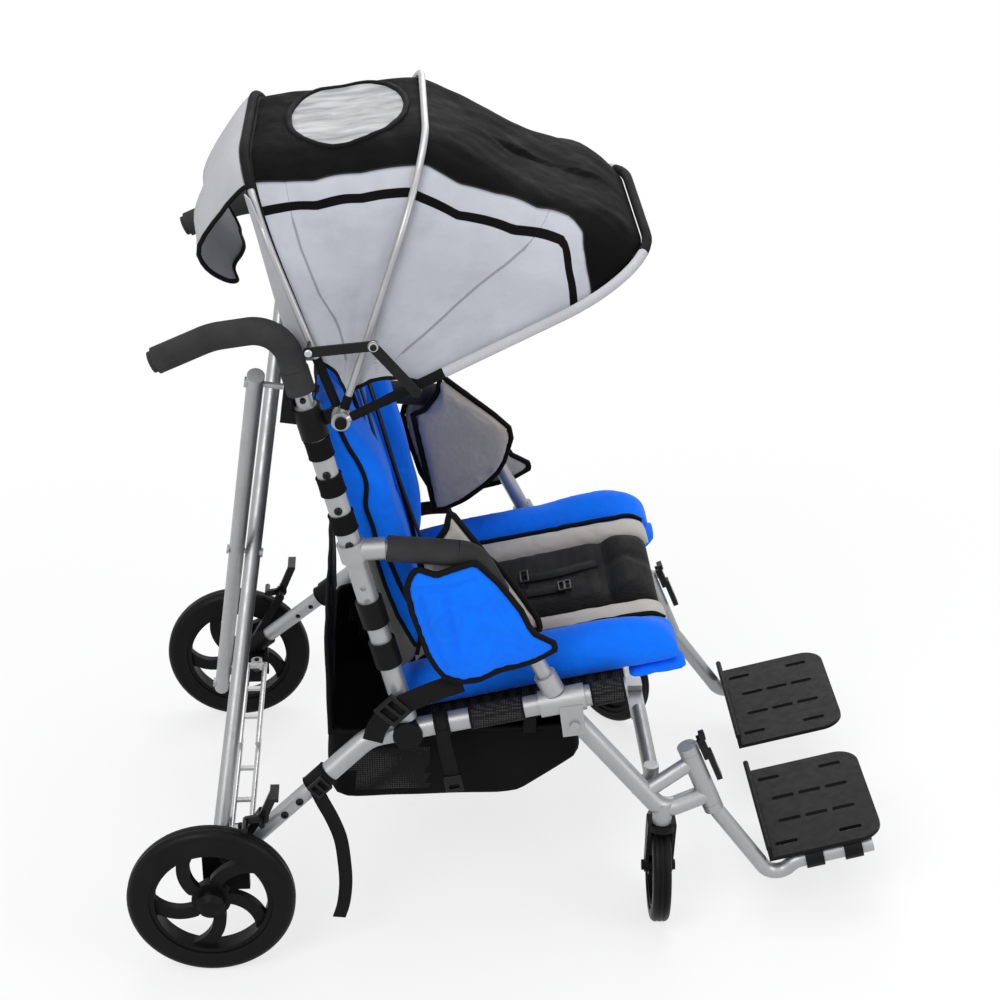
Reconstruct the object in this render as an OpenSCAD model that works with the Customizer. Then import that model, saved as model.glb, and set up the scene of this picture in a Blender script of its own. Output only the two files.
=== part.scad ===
// Folding special needs buggy. Two side frames of round tube stand on fixed rear wheels and
// swivel casters. A rear X, a rear spreader and a front cross tube hold them apart.
// X points forward, Y to the left and Z up. The floor is Z = 0 and the rear axle leads the layout.

/* [Wheels] */
// Rear wheel diameter over the tyre
rear_wheel_d = 230; // [215:1:240]
// Rear tyre width
rear_tyre_w = 30; // [26:1:34]
// Height of the rear tyre section from the rim seat to the tread
rear_tyre_h = 31; // [26:1:34]
// Distance of a rear wheel's centre outside the lower end of its leg
wheel_out = 43; // [40:1:52]
// Diameter of the rear hub
rear_hub_d = 54; // [46:1:60]
// Number of swirl spokes in a rear wheel
spoke_count = 5; // [4:1:6]
// Width of one swirl spoke
spoke_w = 18; // [14:1:20]
// Rear axle diameter
axle_d = 12; // [10:1:14]
// Caster wheel diameter
caster_d = 160; // [150:1:162]
// Caster tyre width
caster_w = 26; // [22:1:30]
// Height of the caster tyre section
caster_tyre_h = 17; // [13:1:20]
// Distance of the caster axle from its swivel axis
caster_trail = 27; // [22:1:32]
// Diameter of the caster stem
stem_d = 13; // [11:1:15]
// Turn of the right caster from straight back
caster_yaw_right = -92; // [-180:1:180]
// Turn of the left caster from straight back
caster_yaw_left = -48; // [-180:1:180]

/* [Side frames] */
// Half the distance between the two side frames
side_half = 255; // [250:1:260]
// Diameter of the seat rails and back tubes
tube_d = 29; // [26:0.5:31]
// Rise of the seat rail towards the front
seat_tilt = 10.8; // [8:0.1:13]
// Backward lean of the back tubes
back_lean = 14.2; // [13:0.1:16]
// Forward place of the joint between back tube and seat rail
pivot_x = 277; // [272:1:284]
// Height of the joint between back tube and seat rail
pivot_z = 330; // [326:1:336]
// Seat rail length ahead of that joint
rail_front = 300; // [285:1:310]
// Seat rail length behind that joint
rail_rear = 57; // [50:1:62]
// Length of the back tube above that joint
back_len = 500; // [495:1:506]
// Bend radius of the side rail
rail_bend_r = 60; // [45:1:75]

/* [Rear legs and cross members] */
// Forward place of the lower end of the rear leg
leg_end_x = 24; // [20:1:30]
// Height of the lower end of the rear leg
leg_end_z = 148; // [142:1:154]
// Half the distance between the lower ends of the rear legs
leg_end_half = 288; // [284:1:292]
// Length of the outer sleeve below the rail bend
leg_sleeve_len = 96; // [84:1:108]
// Diameter of the sliding inner rear leg
leg_d = 23; // [20:0.5:24]
// Diameter of the two X tubes
x_tube_d = 22; // [18:0.5:24]
// Half the distance between the pivots of the X tubes
x_half = 212; // [206:1:215]
// Height of the lower X pivots
x_low_z = 126; // [122:1:128]
// Height of the upper ends of the X tubes
x_top_z = 826; // [810:1:834]
// Forward place of the lower X pivots
x_low_x = -8; // [-12:1:-4]
// Forward place of the upper ends of the X tubes
x_top_x = 101; // [94:1:104]
// Diameter of the spreader rods
spreader_d = 8; // [6:0.5:9]
// Height of the spreader rods
spreader_z = 152; // [148:1:156]
// Forward place of the spreader, midway between its rods
spreader_x = 36; // [34:1:40]
// Distance between the two rods of the spreader
spreader_gap = 27; // [24:1:30]
// Distance of the spreader pivots inside the lower ends of the rear legs
spreader_in = 62; // [56:1:66]

/* [Front legs] */
// Diameter of the front legs
front_d = 27; // [24:0.5:28]
// Forward place of the foot bend
foot_x = 625; // [620:1:630]
// Height of the foot bend
foot_z = 192; // [190:1:200]
// Half the distance between the foot bends, which carry the casters
foot_half = 266; // [262:1:270]
// Bend radius at the foot
foot_bend_r = 34; // [30:1:40]
// Forward place of the lower stub end
stub_x = 690; // [684:1:696]
// Height of the lower stub end
stub_z = 206; // [203:1:212]
// Forward place of the upper stub end
tee_x = 668; // [662:1:672]
// Height of the upper stub end
tee_z = 260; // [256:1:264]
// Diameter of the upper stub
tee_d = 22; // [18:0.5:24]
// Diameter of the front cross tube
cross_d = 22; // [18:0.5:24]
// Height of the front cross tube
cross_z = 233; // [228:1:238]
// Forward place of the front cross tube
cross_x = 612; // [608:1:616]

/* [Footrests] */
// Half the distance between the footrest hangers
hanger_half = 247; // [243:1:250]
// Diameter of the hanger tube
hanger_d = 22; // [19:0.5:23]
// Diameter of the hanger pivot pin
hanger_pin_d = 16; // [13:0.5:17]
// Forward place of the lower hanger bend
hanger_low_x = 792; // [786:1:796]
// Height of the lower hanger bend
hanger_low_z = 56; // [50:1:62]
// Bend radius of the hanger
hanger_bend_r = 24; // [22:1:26]
// Toes-up pitch of the footplates
plate_pitch = 13.5; // [8:0.5:18]
// Footplate width
plate_w = 220; // [205:1:224]
// Footplate length
plate_len = 166; // [150:1:176]
// Footplate thickness
plate_t = 6; // [5:0.5:8]
// Corner radius at the front of the footplate
plate_corner_r = 34; // [24:1:44]
// Height of the heel lip
heel_h = 22; // [16:1:28]
// Width of the footplate slots
slot_w = 8; // [6:0.5:10]
// Length of the footplate slots
slot_len = 34; // [26:1:40]

/* [Armrests] */
// Place of the armrest bracket along the back tube
arm_s = 286; // [278:1:294]
// Forward place of the armrest's front bend
arm_x = 366; // [358:1:372]
// Height of the armrest's front bend
arm_z = 597; // [590:1:604]
// Diameter of the armrest tube
arm_d = 22; // [19:0.5:24]
// Diameter of the armrest foam
arm_foam_d = 35; // [30:0.5:38]
// Bend radius of the armrest tube
arm_bend_r = 40; // [34:1:50]
// Place of the armrest post's foot along the seat rail
post_s = 200; // [197:1:203]

/* [Push handles] */
// Diameter of the sliding handle tube
handle_d = 22; // [20:0.5:23]
// Length of the handle tube inside the back tube
handle_in = 120; // [100:1:130]
// Free handle tube between the back tube and the grip
handle_free = 32; // [26:1:40]
// Diameter of the foam grip
grip_d = 35; // [30:0.5:38]
// Backward reach of the grip from its bend
grip_reach = 156; // [130:1:165]
// Drop of the grip's free end below its bend
grip_drop = 42; // [30:1:55]
// Bend radius of the grip
grip_bend_r = 46; // [40:1:48]
// Diameter of the snap buttons
button_d = 8; // [6:0.5:9]
// Height that the snap buttons stand proud
button_h = 4; // [3:0.5:6]

/* [Brakes] */
// Diameter of the brake pin that bears on the tyre
brake_pin_d = 8; // [6:0.5:9]
// Gap between brake pin and tyre when released
brake_gap = 8; // [7:0.5:9]
// Length of the brake pedal
brake_pedal = 46; // [38:1:52]

/* [Canopy] */
// Distance of the canopy hub below the top of the back tube
hub_drop = 22; // [18:1:28]
// Distance of the canopy hub ahead of the back tube
hub_out = 40; // [38:1:44]
// Diameter of the canopy hoops
bow_d = 9; // [7:0.5:10]
// Height of the rear hoop above the hub
bow_rear_h = 325; // [312:1:336]
// Height of the middle hoop above the hub
bow_mid_h = 348; // [338:1:360]
// Height of the front hoop above the hub
bow_front_h = 434; // [420:1:446]
// Lean of the rear hoop, forward positive
bow_rear_a = -20.5; // [-23:0.1:-18]
// Lean of the middle hoop
bow_mid_a = 19.1; // [16:0.1:22]
// Lean of the front hoop
bow_front_a = 65.5; // [62:0.1:69]
// Corner radius of the hoops
bow_corner_r = 140; // [120:1:155]
// Inward lean of the hoop legs at the shoulder
bow_draw = 34; // [26:1:42]
// Thickness of the canopy cloth
cloth_t = 2.5; // [2:0.1:3.5]
// Length of each link of the canopy stay
stay_len = 80; // [76:1:84]
// Distance of the stay pivots from the hub
stay_r = 104; // [100:1:108]
// Height of the cloth that hangs behind the rear hoop
flap_drop = 165; // [140:1:185]

/* [Seat] */
// Half the width of the seat cushion
seat_half = 228; // [220:1:230]
// Seat cushion length
seat_len = 375; // [350:1:385]
// Seat cushion height at its middle
seat_mid_h = 50; // [42:1:56]
// Seat cushion height at its side bolsters
seat_side_h = 78; // [70:1:80]
// Half the width of the back cushion
back_half = 222; // [212:1:226]
// Height of the back cushion
back_h = 425; // [405:1:440]
// Thickness of the back cushion at its middle
back_mid_t = 46; // [38:1:52]
// Thickness of the back cushion at its side bolsters
back_side_t = 66; // [56:1:72]
// Thickness of the inner side pads
pad_t = 26; // [20:1:28]
// Thickness of the outer side panels
panel_t = 10; // [8:0.5:14]
// Thickness of the seat sling
sling_t = 3; // [2:0.5:4]

/* [Basket] */
// Half the width of the basket
basket_half = 214; // [200:1:220]
// Rear edge of the basket
basket_rear_x = 164; // [160:1:172]
// Front edge of the basket
basket_front_x = 512; // [490:1:530]
// Height of the basket floor
basket_low_z = 186; // [180:1:192]
// Height of the basket rim
basket_rim_z = 300; // [290:1:304]
// Height of the tall rear panel of the basket
basket_back_z = 452; // [430:1:470]
// Wall of the basket
basket_wall = 3; // [2:0.5:4]

/* [Hidden] */
$fn = 48;

// Fits and overruns
run = 0.05;
seat_gap = 0.3;
bead_gap = 0.3;
clear = 1;
over = 1;
sunk = 0.5;
bend_lap = 1;
bend_swell = 0.14;
steep_share = 0.9;
SILVER = [0.75, 0.76, 0.78];
BLACK = [0.08, 0.08, 0.09];
BLUE = [0.05, 0.42, 0.95];
CLOTH = [0.72, 0.73, 0.77];

// Places shared by several pieces
rear_r = rear_wheel_d / 2;
wheel_half = leg_end_half + wheel_out;
spreader_half = leg_end_half - spreader_in;
hub_s = back_len - hub_drop;
caster_r = caster_d / 2;
tube_r = tube_d / 2;
ct = cos(seat_tilt);
st = sin(seat_tilt);
cb = cos(back_lean);
sb = sin(back_lean);
function on_rail(s, n = 0) = [pivot_x + s * ct - n * st, -side_half, pivot_z + s * st + n * ct];
function on_back(s, out = 0) = [pivot_x - s * sb + out * cb, -side_half, pivot_z + s * cb + out * sb];
function lerp(a, b, t) = a + (b - a) * t;
function unit(v) = v / norm(v);
function polar_xz(r, a) = [r * cos(a), 0, r * sin(a)];

rail_bend = on_rail(-rail_rear);
leg_end = [leg_end_x, -leg_end_half, leg_end_z];
leg_dir = unit(leg_end - rail_bend);
sleeve_end = rail_bend + leg_dir * leg_sleeve_len;
leg_overlap = 58;
axle = [0, -wheel_half, rear_r];

clamp_len = 42;
clamp_wall = 4;
clamp_d = tube_d + 2 * clamp_wall;
leg_top = on_rail(post_s + clamp_len / 2, clear - (clamp_d + front_d) / 2);
foot = [foot_x, -foot_half, foot_z];
stub_end = [stub_x, -hanger_half, stub_z];
tee_end = [tee_x, -hanger_half, tee_z];
swing = unit(stub_end - tee_end);
swing_out = [-swing.z, 0, swing.x];
recv_wall = 6;
recv_d = hanger_pin_d + 2 * recv_wall;
recv_over = 15;
recv_top = tee_end - swing * recv_over;
recv_low = stub_end + swing * recv_over;
collar_t = 12;
hanger_top = recv_low + swing * (seat_gap + collar_t / 2);
hanger_low = [hanger_low_x, -hanger_half, hanger_low_z];
plate_dir = [cos(plate_pitch), 0, sin(plate_pitch)];
rise_run = 30;
plate_axis = hanger_low + [rise_run, 0, rise_run];
plate_rod = 112;

arm_gap = 3;
arm_start = on_back(arm_s, tube_r + arm_gap);
arm_bend = [arm_x, -side_half, arm_z];
arm_dir = unit(arm_bend - arm_start);
arm_bracket_len = 26;
post_rise = 6;
post_foot = on_rail(post_s, clamp_d / 2 + post_rise);
post_dir = unit(arm_bend - post_foot);
back_top = on_back(back_len);
handle_top = on_back(back_len + handle_free);
grip_rise_share = 1.7;
grip_bend = on_back(back_len + handle_free + grip_bend_r * grip_rise_share);
grip_end = grip_bend + [-grip_reach, 0, -grip_drop];
knee_share = 0.55;
knee_rise_share = 0.27;
grip_knee = lerp(grip_bend, grip_end, knee_share) + [0, 0, grip_drop * knee_rise_share];

hub = on_back(hub_s, hub_out);
bow_gap = 0.6;
bow_step = bow_d + bow_gap;
bow_out = 8;
bow_half_rear = side_half + bow_out;
bow_half_mid = bow_half_rear + bow_step;
bow_half_front = bow_half_mid + bow_step;

// General shapes
module right() translate([-mid_x, 0, 0]) children();
module left() translate([-mid_x, 0, 0]) mirror([0, 1, 0]) children();

// Frame with its axes along x, y and z and its origin at o
module framed(x, y, z, o) multmatrix([
    [x.x, y.x, z.x, o.x], [x.y, y.y, z.y, o.y], [x.z, y.z, z.z, o.z], [0, 0, 0, 1]
]) children();

// Frame with its Z axis along a direction
module along(p, q) {
    z = unit(q - p);
    x = unit(cross(abs(z.y) < steep_share ? [0, 1, 0] : [1, 0, 0], z));
    framed(x, cross(z, x), z, p) children();
}

module rod(p, q, d) along(p, q) cylinder(d = d, h = norm(q - p));

module pipe(p, q, d, bore) along(p, q) difference() {
    cylinder(d = d, h = norm(q - p));
    translate([0, 0, -over]) cylinder(d = bore, h = norm(q - p) + 2 * over);
}

// Flat bar between two points, with its width square to the Y axis
module bar(p, q, w, t) along(p, q) translate([-w / 2, -t / 2, 0]) cube([w, t, norm(q - p)]);

// Bend of a tube at corner b, on the way from a to c
module elbow(a, b, c, r, d) {
    din = unit(b - a);
    dout = unit(c - b);
    turn = acos(din * dout);
    n = unit(dout - din * (din * dout));
    o = b - din * r * tan(turn / 2) + n * r;
    framed(-n, din, cross(-n, din), o) rotate_extrude(angle = turn) translate([r, 0]) circle(d = d);
}

function setback(a, b, c, r) = r * tan(acos(unit(b - a) * unit(c - b)) / 2);

// Round tube through the points p, with one bend radius per inner point
module bent_tube(p, r, d) {
    last = len(p) - 1;
    for (i = [0 : last - 1]) {
        dir = unit(p[i + 1] - p[i]);
        s0 = i == 0 ? 0 : setback(p[i - 1], p[i], p[i + 1], r[i - 1]);
        s1 = i == last - 1 ? 0 : setback(p[i], p[i + 1], p[i + 2], r[i]);
        lap0 = i == 0 ? 0 : bend_lap;
        lap1 = i == last - 1 ? 0 : bend_lap;
        rod(p[i] + dir * (s0 - lap0), p[i + 1] - dir * (s1 - lap1), d);
    }
    for (i = [1 : last - 1]) elbow(p[i - 1], p[i], p[i + 1], r[i - 1], d + bend_swell);
}

// Closed solid between two grids of points of the same size
module slab(top, low) {
    n = len(top);
    m = len(top[0]);
    pts = concat([for (row = top) each row], [for (row = low) each row]);
    function t(i, j) = i * m + j;
    function b(i, j) = n * m + i * m + j;
    quads = concat(
        [for (i = [0 : n - 2], j = [0 : m - 2]) [t(i, j), t(i, j + 1), t(i + 1, j + 1), t(i + 1, j)]],
        [for (i = [0 : n - 2], j = [0 : m - 2]) [b(i, j), b(i + 1, j), b(i + 1, j + 1), b(i, j + 1)]],
        [for (i = [0 : n - 2]) [t(i, 0), t(i + 1, 0), b(i + 1, 0), b(i, 0)]],
        [for (i = [0 : n - 2]) [t(i, m - 1), b(i, m - 1), b(i + 1, m - 1), t(i + 1, m - 1)]],
        [for (j = [0 : m - 2]) [t(0, j), b(0, j), b(0, j + 1), t(0, j + 1)]],
        [for (j = [0 : m - 2]) [t(n - 1, j), t(n - 1, j + 1), b(n - 1, j + 1), b(n - 1, j)]]
    );
    polyhedron(pts, [for (q = quads) each [[q[0], q[1], q[2]], [q[0], q[2], q[3]]]]);
}

// Rounded edge of a stuffed pad, 0 at its rim and 1 over its middle
full_share = 0.96;
function puff(t, k) = min(1, sqrt(max(0, 1 - pow(abs(2 * t - 1), k))) / full_share);
// Sewn channel at place c of width w, 1 at its bottom and 0 away from it
dip_share = 0.03;
function dip(t, c, w) = max(0, exp(-pow((t - c) / w, 2)) - dip_share) / (1 - dip_share);

module slot2d(l, w) {
    square([l - w, w], center = true);
    for (e = [-1, 1]) translate([e * (l - w) / 2, 0]) circle(d = w);
}

// Rear wheel
rim_r = rear_r - rear_tyre_h;
rim_wall = 7;
rim_inset = 2;
rim_w = rear_tyre_w - 2 * rim_inset;
hub_proud = 5;
hub_w = rear_tyre_w + 2 * hub_proud;
hub_share = 0.72;
face_t = 12;
cap_h = 6;
cap_share = 0.36;
cap_r = rear_hub_d * cap_share;
cap_top_share = 0.6;
spoke_bow_share = 0.62;
spoke_bow = rim_r * spoke_bow_share;
well_out_share = 0.6;
well_d_share = 1.6;
tyre_round = 11;
groove_step = 7;
groove_d = 2.4;

module turned() translate(axle) rotate([90, 0, 0]) children();

module swirl_face() {
    circle(d = rear_hub_d);
    difference() {
        circle(r = rim_r - sunk);
        circle(r = rim_r - rim_wall);
    }
    for (i = [0 : spoke_count - 1]) rotate(i * 360 / spoke_count) intersection() {
        circle(r = rim_r - sunk);
        translate([spoke_bow, 0]) difference() {
            circle(r = spoke_bow + spoke_w / 2);
            circle(r = spoke_bow - spoke_w / 2);
        }
        square(rim_r);
    }
}

module rear_rim() turned() difference() {
    union() {
        translate([0, 0, -face_t / 2]) linear_extrude(face_t) swirl_face();
        rotate_extrude() difference() {
            translate([rim_r - rim_wall, -rim_w / 2]) square([rim_wall, rim_w]);
            translate([rim_r + rim_wall * well_out_share, 0]) circle(d = rim_wall * well_d_share);
        }
        translate([0, 0, -hub_w / 2]) cylinder(d = rear_hub_d * hub_share, h = hub_w);
        translate([0, 0, hub_w / 2 - sunk])
            cylinder(r1 = cap_r, r2 = cap_r * cap_top_share, h = cap_h + sunk);
    }
    translate([0, 0, -hub_w / 2 - over]) cylinder(d = axle_d + 2 * run, h = hub_w + over);
}

module rear_tyre() turned() rotate_extrude() difference() {
    union() {
        translate([rear_r - tyre_round, -rear_tyre_w / 2 + tyre_round])
            square([tyre_round, rear_tyre_w - 2 * tyre_round]);
        translate([rim_r + bead_gap, -rear_tyre_w / 2])
            square([rear_tyre_h - tyre_round - bead_gap, rear_tyre_w]);
        for (e = [-1, 1]) translate([rear_r - tyre_round, e * (rear_tyre_w / 2 - tyre_round)])
            circle(tyre_round);
    }
    for (e = [-1, 0, 1]) translate([rear_r, e * groove_step]) circle(d = groove_d);
}

// Plane of the X tubes: off runs forward, square to the plane, and h runs up in it
x_layer_gap = 0.75;
x_layer = x_tube_d / 2 + x_layer_gap;
x_span = norm([x_top_x - x_low_x, 0, x_top_z - x_low_z]);
x_up = unit([x_top_x - x_low_x, 0, x_top_z - x_low_z]);
x_fwd = [x_up.z, 0, -x_up.x];
ear_gap = 2;
ear_off = x_layer + x_tube_d / 2 + ear_gap;
ear_t = 6;
ear_tall = 31;
x_pin_d = 8;
x_pin_head = 14;
x_pin_head_t = 3;
function in_x(y, off, h) = [x_low_x, y, x_low_z] + x_fwd * off + x_up * h;
module at_x(off, h) framed(x_fwd, [0, 1, 0], x_up, in_x(0, off, h)) children();

// Wheel bracket with the axle, the lower X ear, the spreader lug and the brake lugs
socket_wall = 4;
socket_len = 46;
socket_end = 8;
bracket_t = 12;
bracket_rear = 14;
bracket_front = 26;
bracket_low = 15;
bracket_top = 14;
collar_share = 1.7;
ear_edge = 4;
ear_drop = 14;
lug_t = 6;
spread_low = spreader_z - spreader_d - clear / 2;
spread_pin_d = 8;
spread_pin_proud = 2;
spread_eye_d = 18;
brake_rise = 26;
brake_angle = 58;
brake_pin_angle = 66;
brake_pivot = axle + polar_xz(rear_r + brake_rise, brake_angle);
brake_pin_at = axle + polar_xz(rear_r + brake_gap + brake_pin_d / 2, brake_pin_angle);
brake_out = 20;
brake_y = -(leg_end_half + brake_out);
brake_t = 6;
brake_bolt_d = 8;

module wheel_bracket() {
    inner_y = -(leg_end_half - bracket_t / 2);
    low_z = rear_r - bracket_low;
    ear_in = -(x_half - x_tube_d / 2 - ear_edge);
    ear_long = ear_in - inner_y + sunk;
    lug_z = spread_low - seat_gap - lug_t;
    lug_x = in_x(0, ear_off, ear_tall - ear_drop).x + sunk;
    bolt_at = [brake_pivot.x, 0, brake_pivot.z];
    difference() {
        union() {
            rod(leg_end - leg_dir * (socket_len - socket_end), leg_end + leg_dir * socket_end,
                leg_d + 2 * socket_wall);
            translate([-bracket_rear, inner_y - bracket_t, low_z])
                cube([leg_end_x + bracket_front + bracket_rear, bracket_t, leg_end_z + bracket_top - low_z]);
            rod([0, inner_y + sunk, rear_r], [0, over - wheel_half - hub_w / 2, rear_r], axle_d);
            rod([0, inner_y + sunk, rear_r], [0, hub_w / 2 + seat_gap - wheel_half, rear_r],
                axle_d * collar_share);
            at_x(ear_off, -ear_drop) translate([0, inner_y - sunk, 0]) cube([ear_t, ear_long, ear_tall]);
            translate([lug_x, inner_y - sunk, lug_z])
                cube([spreader_x + spread_eye_d / 2 - lug_x, ear_long, lug_t]);
            rod([spreader_x, -spreader_half, lug_z],
                [spreader_x, -spreader_half, spreader_z + spreader_d + spread_pin_proud], spread_pin_d);
            bar(leg_end + [0, 0, socket_wall], bolt_at + [0, brake_y + brake_t, 0], brake_t * 2, bracket_t);
            rod(bolt_at + [0, brake_y + brake_t * 2, 0], bolt_at - [0, wheel_half + brake_t, 0],
                brake_bolt_d);
        }
        rod(leg_end - leg_dir * (socket_len + over), leg_end + leg_dir * seat_gap, leg_d + 2 * bead_gap);
        rod(in_x(-x_half, ear_off - over, 0), in_x(-x_half, ear_off + ear_t + over, 0), x_pin_d + 2 * run);
    }
}

hole_places = [34, 62];
module rear_leg() difference() {
    rod(sleeve_end - leg_dir * leg_overlap, leg_end, leg_d);
    for (d = hole_places) translate(sleeve_end + leg_dir * d)
        rotate([90, 0, 0]) translate([0, 0, -leg_d]) cylinder(d = button_d, h = 2 * leg_d);
}

// Seat rail that turns down into the outer sleeve of the rear leg, with the front clamp on it
saddle_len = 22;
saddle_sink = 8;
saddle_wall = 4.5;
saddle_d = arm_d + 2 * saddle_wall;
clamp_plate_t = 4;
clamp_bolt_d = 8;
cheek_gap = 2;
cheek_drop_share = 0.62;
cheek_w_share = 0.75;
module side_rail() difference() {
    union() {
        bent_tube([on_rail(rail_front), rail_bend, sleeve_end], [rail_bend_r], tube_d);
        rod(on_rail(post_s - clamp_len / 2), on_rail(post_s + clamp_len), clamp_d);
        for (e = [-1, 1]) translate([0, e * (front_d / 2 + cheek_gap + clamp_plate_t / 2), 0])
            bar(on_rail(post_s + clamp_len / 2), leg_top - [0, 0, front_d * cheek_drop_share],
                clamp_len * cheek_w_share, clamp_plate_t);
        rod(post_foot - post_dir * saddle_sink, post_foot + post_dir * saddle_len, saddle_d);
    }
    rod(sleeve_end - leg_dir * (leg_overlap + seat_gap), sleeve_end + leg_dir * over, leg_d + 2 * run);
    rod(post_foot, post_foot + post_dir * (saddle_len + over), arm_d + 2 * seat_gap);
    rod(leg_top - [0, clamp_d, 0], leg_top + [0, clamp_d, 0], clamp_bolt_d + 2 * run);
}

// Front leg with its foot stub, the upper stub, the hanger receiver and the caster socket
stem_wall = 7;
socket_d = stem_d + 2 * stem_wall;
crown_gap = 4;
crown_low = caster_d + crown_gap;
crown_t = 9;
stem_rise = 9;
stem_top = foot_z + stem_rise;
socket_rise = 5;
tee_share = 0.8;
tee_start = lerp(leg_top, foot, tee_share);
cross_share = 0.74;
cross_leg = lerp(leg_top, foot, cross_share);
cross_pin_d = 9;
cross_eye_d = 22;
cross_in = 25;
cross_half = side_half - cross_in;
cross_lap_share = 0.4;
cross_lap = cross_d * cross_lap_share;
cross_seat = cross_z - cross_d / 2 - seat_gap;
lug_in = 3;
lug_lap_share = 0.3;
bolt_head_t = 4;
bolt_head_share = 1.7;
pin_half = front_d / 2 + cheek_gap + clamp_plate_t + seat_gap;
module front_leg() difference() {
    socket_low = crown_low + crown_t + clear;
    lug_z = cross_seat - lug_t / 2;
    union() {
        bent_tube([leg_top, foot, stub_end], [foot_bend_r], front_d);
        rod(tee_start, tee_end, tee_d);
        rod(recv_top, recv_low, recv_d);
        translate([foot_x, -foot_half, socket_low])
            cylinder(d = socket_d, h = stem_top + socket_rise - socket_low);
        for (e = [-1, 1]) {
            rod(leg_top, leg_top + [0, e * (pin_half + sunk), 0], clamp_bolt_d);
            rod(leg_top + [0, e * pin_half, 0], leg_top + [0, e * (pin_half + bolt_head_t), 0],
                clamp_bolt_d * bolt_head_share);
        }
        bar([cross_leg.x, lug_in - foot_half, lug_z],
            [cross_x, cross_eye_d * lug_lap_share - cross_half, lug_z], lug_t, cross_d);
        translate([cross_x, -cross_half, cross_seat - lug_t])
            cylinder(d = cross_pin_d, h = cross_d + seat_gap + lug_t);
    }
    rod(recv_top - swing * over, recv_low + swing * over, hanger_pin_d + 2 * run);
    translate([foot_x, -foot_half, 0]) cylinder(d = stem_d + 2 * run, h = stem_top + seat_gap);
}

// Back tube, bored at the top for the sliding handle
peg_shares = [0.75, 0.82];
module back_tube() difference() {
    rod(on_back(clamp_d / 2 + clear), back_top, tube_d);
    rod(on_back(back_len - handle_in - seat_gap), on_back(back_len + over), handle_d + 2 * run);
    for (k = peg_shares)
        rod(on_back(arm_s * k) - [0, tube_d, 0], on_back(arm_s * k) - [0, handle_d / 2, 0], button_d);
}

// Black mouldings on the back tube: lock sleeves, top sleeve, armrest bracket, canopy hub and X ear
sleeve_wall = 4;
sleeve_bore = tube_d + 2 * bead_gap;
hub_pin_d = 9;
hub_t = 6;
ring_d = 24;
ring_t = 4;
lock_places = [108, 172];
lock_len = 38;
top_len = 44;
neck_share = 0.8;
knob_share = 0.64;
block_share = 0.6;
joint_d_share = 1.1;
joint_back_share = 0.1;
module tube_sleeves() {
    outer_d = tube_d + 2 * sleeve_wall;
    for (s = lock_places) pipe(on_back(s), on_back(s + lock_len), outer_d, sleeve_bore);
    difference() {
        ear_h = x_span - ear_tall;
        reach = (on_back(back_len - top_len * block_share) - in_x(0, ear_off, ear_h)) * x_fwd;
        block_w = tube_d * block_share;
        ear_w = side_half - x_half + x_tube_d * block_share;
        knob_y = -(bow_half_front + ring_t / 2 + seat_gap);
        union() {
            rod(on_back(back_len - top_len), on_back(back_len - clear), outer_d);
            bar(on_back(hub_s, tube_r), hub, ring_d * neck_share, hub_t - over);
            rod(hub + [0, hub_t / 2, 0], hub - [0, hub_t / 2, 0], ring_d);
            rod(hub, [hub.x, knob_y - ring_t / 2, hub.z], hub_pin_d);
            rod([hub.x, knob_y, hub.z], [hub.x, knob_y - 1.5 * ring_t, hub.z], ring_d * knob_share);
            at_x(ear_off, ear_h) translate([0, -side_half, 0]) linear_extrude(ear_tall)
                polygon([[0, 0], [reach, 0], [reach, block_w], [ear_t, block_w], [ear_t, ear_w], [0, ear_w]]);
        }
        rod(on_back(back_len - top_len - over), on_back(back_len + handle_free), sleeve_bore);
    }
    difference() {
        union() {
            rod(on_back(arm_s - arm_bracket_len / 2), on_back(arm_s + arm_bracket_len / 2), outer_d);
            rod(on_back(arm_s), arm_start + arm_dir * arm_bracket_len, arm_d + 2 * sleeve_wall);
        }
        rod(on_back(arm_s - arm_bracket_len), on_back(arm_s + arm_bracket_len), sleeve_bore);
        rod(arm_start, arm_start + arm_dir * arm_bracket_len * 2, arm_d + 2 * bead_gap);
    }
    difference() {
        joint_at = on_back(0, -clamp_d * joint_back_share);
        rod(joint_at - [0, clamp_d / 2, 0], joint_at + [0, clamp_d / 2, 0], clamp_d * joint_d_share);
        rod(on_rail(-clamp_d), on_rail(clamp_d), sleeve_bore);
        rod(on_back(clamp_d / 2), on_back(clamp_d), sleeve_bore);
    }
}

module arm_tube() bent_tube(
    [arm_start + arm_dir * seat_gap, arm_bend, post_foot + post_dir * seat_gap], [arm_bend_r], arm_d
);

module arm_foam() {
    foam_from = arm_start + arm_dir * (arm_bracket_len + 2 * clear);
    foam_to = arm_bend - arm_dir * setback(arm_start, arm_bend, post_foot, arm_bend_r);
    pipe(foam_from, foam_to, arm_foam_d, arm_d + 2 * bead_gap);
}

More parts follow.
